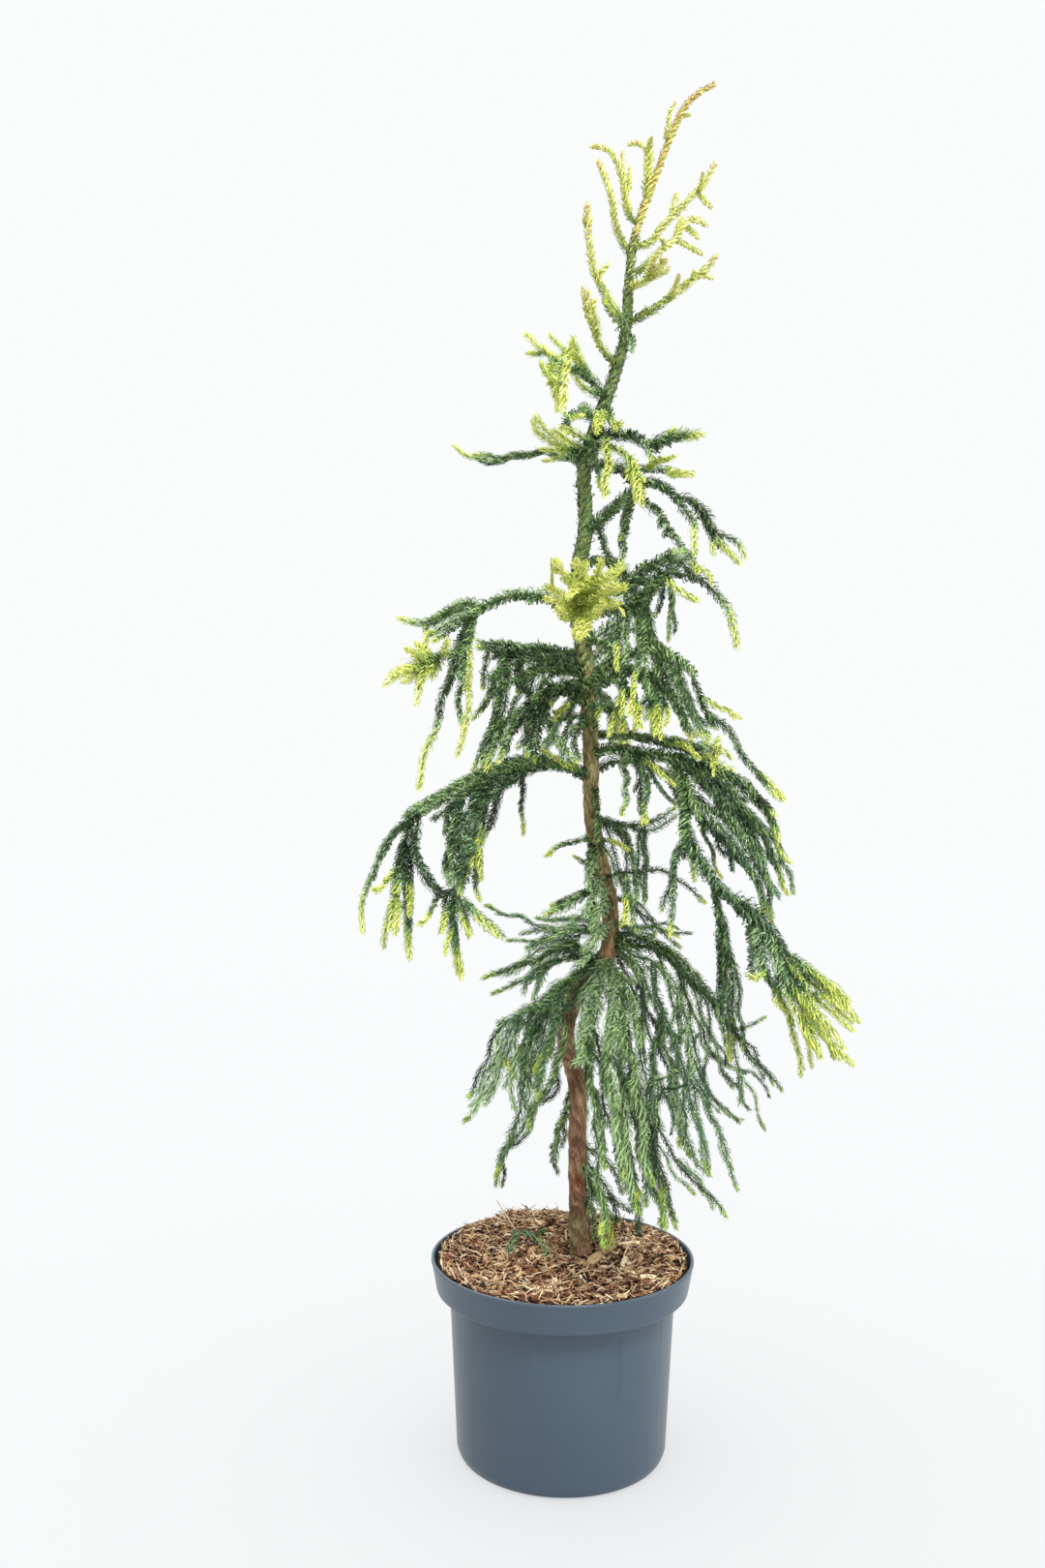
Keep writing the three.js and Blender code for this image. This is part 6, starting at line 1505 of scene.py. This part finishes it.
def earth_material():
    m = principled("mulch_bed", "#4a3327", .95, .2)
    nt = m.node_tree
    N, L = nt.nodes, nt.links
    co = N.new("ShaderNodeTexCoord").outputs["Object"]
    grain = N.new("ShaderNodeTexNoise")
    grain.inputs["Scale"].default_value = 260
    grain.inputs["Detail"].default_value = 6
    L.new(co, grain.inputs["Vector"])
    ramp = N.new("ShaderNodeValToRGB")
    e = ramp.color_ramp.elements
    e.new(.5)
    for el, (p, c) in zip(e, ((.30, "#1c1410"), (.5, "#3d2a20"), (.74, "#6c4e3a"))):
        el.position = p
        el.color = linear(c)
    L.new(grain.outputs["Fac"], ramp.inputs["Fac"])
    L.new(ramp.outputs["Color"], N["Principled BSDF"].inputs["Base Color"])
    bump = N.new("ShaderNodeBump")
    bump.inputs["Strength"].default_value = .8
    bump.inputs["Distance"].default_value = .002
    L.new(grain.outputs["Fac"], bump.inputs["Height"])
    L.new(bump.outputs["Normal"], N["Principled BSDF"].inputs["Normal"])
    return m


bed = mesh_object("mulch_bed", V, F, earth_material())
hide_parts("soil")
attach(bed, "root")

WOODS = {"cream": ("#dcc6a2", "#f0dfc0"), "tan": ("#ad9069", "#d4b58e"), "brown": ("#7b5840", "#a37d5e"), "red": ("#5e392b", "#8a5844"), "dark": ("#221812", "#3f2d23")}


def wood_material(name):
    lo, hi = WOODS[name]
    m = principled("chips_" + name, lo, .9, .2)
    nt = m.node_tree
    N, L = nt.nodes, nt.links
    co = N.new("ShaderNodeTexCoord").outputs["Object"]
    grain = N.new("ShaderNodeTexNoise")
    grain.inputs["Scale"].default_value = 330
    grain.inputs["Detail"].default_value = 4
    L.new(co, grain.inputs["Vector"])
    ramp = N.new("ShaderNodeValToRGB")
    e = ramp.color_ramp.elements
    e[0].position, e[1].position = .32, .68
    e[0].color, e[1].color = linear(lo), linear(hi)
    L.new(grain.outputs["Fac"], ramp.inputs["Fac"])
    L.new(ramp.outputs["Color"], N["Principled BSDF"].inputs["Base Color"])
    return m


def chips(count, length, width, thick, tilt, lift, pool):
    """Bent, tapering slivers strewn over the heap, in the plain wood tones named."""
    r = 107.0 * np.sqrt(rng.random(count))
    a = rng.uniform(0, TAU, count)
    x, y = r * np.cos(a), r * np.sin(a)
    clear = np.hypot(x - FOOT[0], y - FOOT[1]) > 13
    x, y, r = x[clear], y[clear], r[clear]
    n = len(x)
    L = rng.uniform(*length, n)
    W = rng.uniform(*width, n)
    H = np.minimum(rng.uniform(*thick, n), W)
    head = rng.uniform(0, TAU, n)
    # near the wall the slivers lie round it, so none passes through the plastic
    outer = np.hypot(x, y) + L * .5 > 106.5
    head = np.where(outer, np.arctan2(y, x) + math.pi / 2 + rng.normal(0, .12, n), head)
    x = np.where(outer & (np.hypot(x, y) > 104), x * .97, x)
    y = np.where(outer & (np.hypot(x, y) > 104), y * .97, y)
    up = rng.normal(0, tilt, n)
    D = np.stack([np.cos(head) * np.cos(up), np.sin(head) * np.cos(up), np.sin(up)], 1)
    side = np.stack([-np.sin(head), np.cos(head), 0 * head], 1)
    roll = rng.normal(0, .5, n)
    nrm = np.cross(D, side)
    S = side * np.cos(roll)[:, None] + nrm * np.sin(roll)[:, None]
    U = np.cross(D, S)
    U *= np.sign(U[:, 2])[:, None]
    C = np.stack([x, y, heap(x, y) + rng.uniform(*lift, n) + np.abs(np.sin(up)) * L * .22], 1)
    bend = rng.normal(0, .09, n) * L
    V = np.empty((n, 12, 3))
    for j, (u, w) in enumerate(((-.5, .45), (0.0, 1.0), (.5, .35))):
        w = w * rng.uniform(.6, 1.15, n)
        mid = C + D * (L * u)[:, None] + U * (bend * (4 * u * u - .5))[:, None] + S * (rng.normal(0, .05, n) * L)[:, None]
        for c, (sx, sy) in enumerate(((-1, -1), (1, -1), (1, 1), (-1, 1))):
            V[:, j * 4 + c] = mid + S * (sx * W * w / 2)[:, None] + U * (sy * H * (w ** .5) / 2)[:, None]
    f = []
    for j in range(2):
        for c in range(4):
            p, q = j * 4 + c, j * 4 + (c + 1) % 4
            f.append((p, q, q + 4, p + 4))
    f += [(3, 2, 1, 0), (8, 9, 10, 11)]
    names, weights = zip(*pool)
    pick = rng.choice(len(names), n, p=np.array(weights) / sum(weights))
    for index, name in enumerate(names):
        m = pick == index
        if m.any():
            k = int(m.sum())
            strewn.setdefault(name, []).append((V[m].reshape(-1, 3), (np.array(f)[None] + (np.arange(k) * 12)[:, None, None]).reshape(-1, 4)))


strewn = {}
chips(1500, (3.5, 8), (1.6, 3.6), (.7, 1.8), .40, (-1.6, .4), (("brown", 3), ("red", 4), ("dark", 5), ("tan", 1)))
chips(1700, (5, 13), (.8, 1.9), (.4, 1.0), .32, (-.4, 2.2), (("tan", 5), ("cream", 2), ("brown", 5), ("red", 4), ("dark", 3)))
chips(460, (5, 11), (2.4, 4.6), (.9, 2.0), .32, (.0, 2.4), (("tan", 4), ("cream", 2), ("brown", 4), ("red", 4), ("dark", 3)))
chips(1250, (6, 17), (.5, 1.2), (.35, .8), .32, (.6, 3.4), (("cream", 5), ("tan", 6), ("brown", 2), ("red", 1)))


def chip_at(place, length, width, thick, head, up, roll, name):
    D = np.array([math.cos(head) * math.cos(up), math.sin(head) * math.cos(up), math.sin(up)])
    side = np.array([-math.sin(head), math.cos(head), 0])
    S = side * math.cos(roll) + np.cross(D, side) * math.sin(roll)
    U = np.cross(D, S)
    v = []
    for u, w in ((-.5, .7), (0, 1), (.5, .6)):
        for sx, sy in ((-1, -1), (1, -1), (1, 1), (-1, 1)):
            v.append(np.array(place) + D * length * u + S * sx * width * w / 2 + U * sy * thick / 2)
    f = [(0, 1, 5, 4), (1, 2, 6, 5), (2, 3, 7, 6), (3, 0, 4, 7), (4, 5, 9, 8), (5, 6, 10, 9), (6, 7, 11, 10), (7, 4, 8, 11), (3, 2, 1, 0), (8, 9, 10, 11)]
    strewn[name].append((np.array(v), np.array(f)))


chip_at((68, -54, 166.4), 13, 6, 1.6, .1, -.05, .2, "cream")
chip_at((26, -22, 169), 15, 8, 3.2, .9, .25, .3, "tan")
chip_at((50, -32, 169), 15, 5, 1.4, 1.3, .55, .1, "cream")
chip_at((58, 15, 169), 18, 4, 1.6, .1, .05, .5, "cream")
chip_at((-47, 35, 184), 40, 1.0, .8, math.radians(205), math.radians(58), .2, "cream")
for name, parts in strewn.items():
    ob = mesh_object("mulch_chips_" + name, *join(parts), wood_material(name), smooth=False)
    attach(ob, "root")
print("chips", sum(len(f) for parts in strewn.values() for _, f in parts) * 2)


# the lamps light the plant and its pot, and the studio alone lights the floor, so that it stays an even pale ground
lit = bpy.data.collections.new("lit")
for ob in list(scene.objects):
    if ob.type == "MESH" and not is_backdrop(ob):
        lit.objects.link(ob)
for lamp in lamps:
    lamp.light_linking.receiver_collection = lit
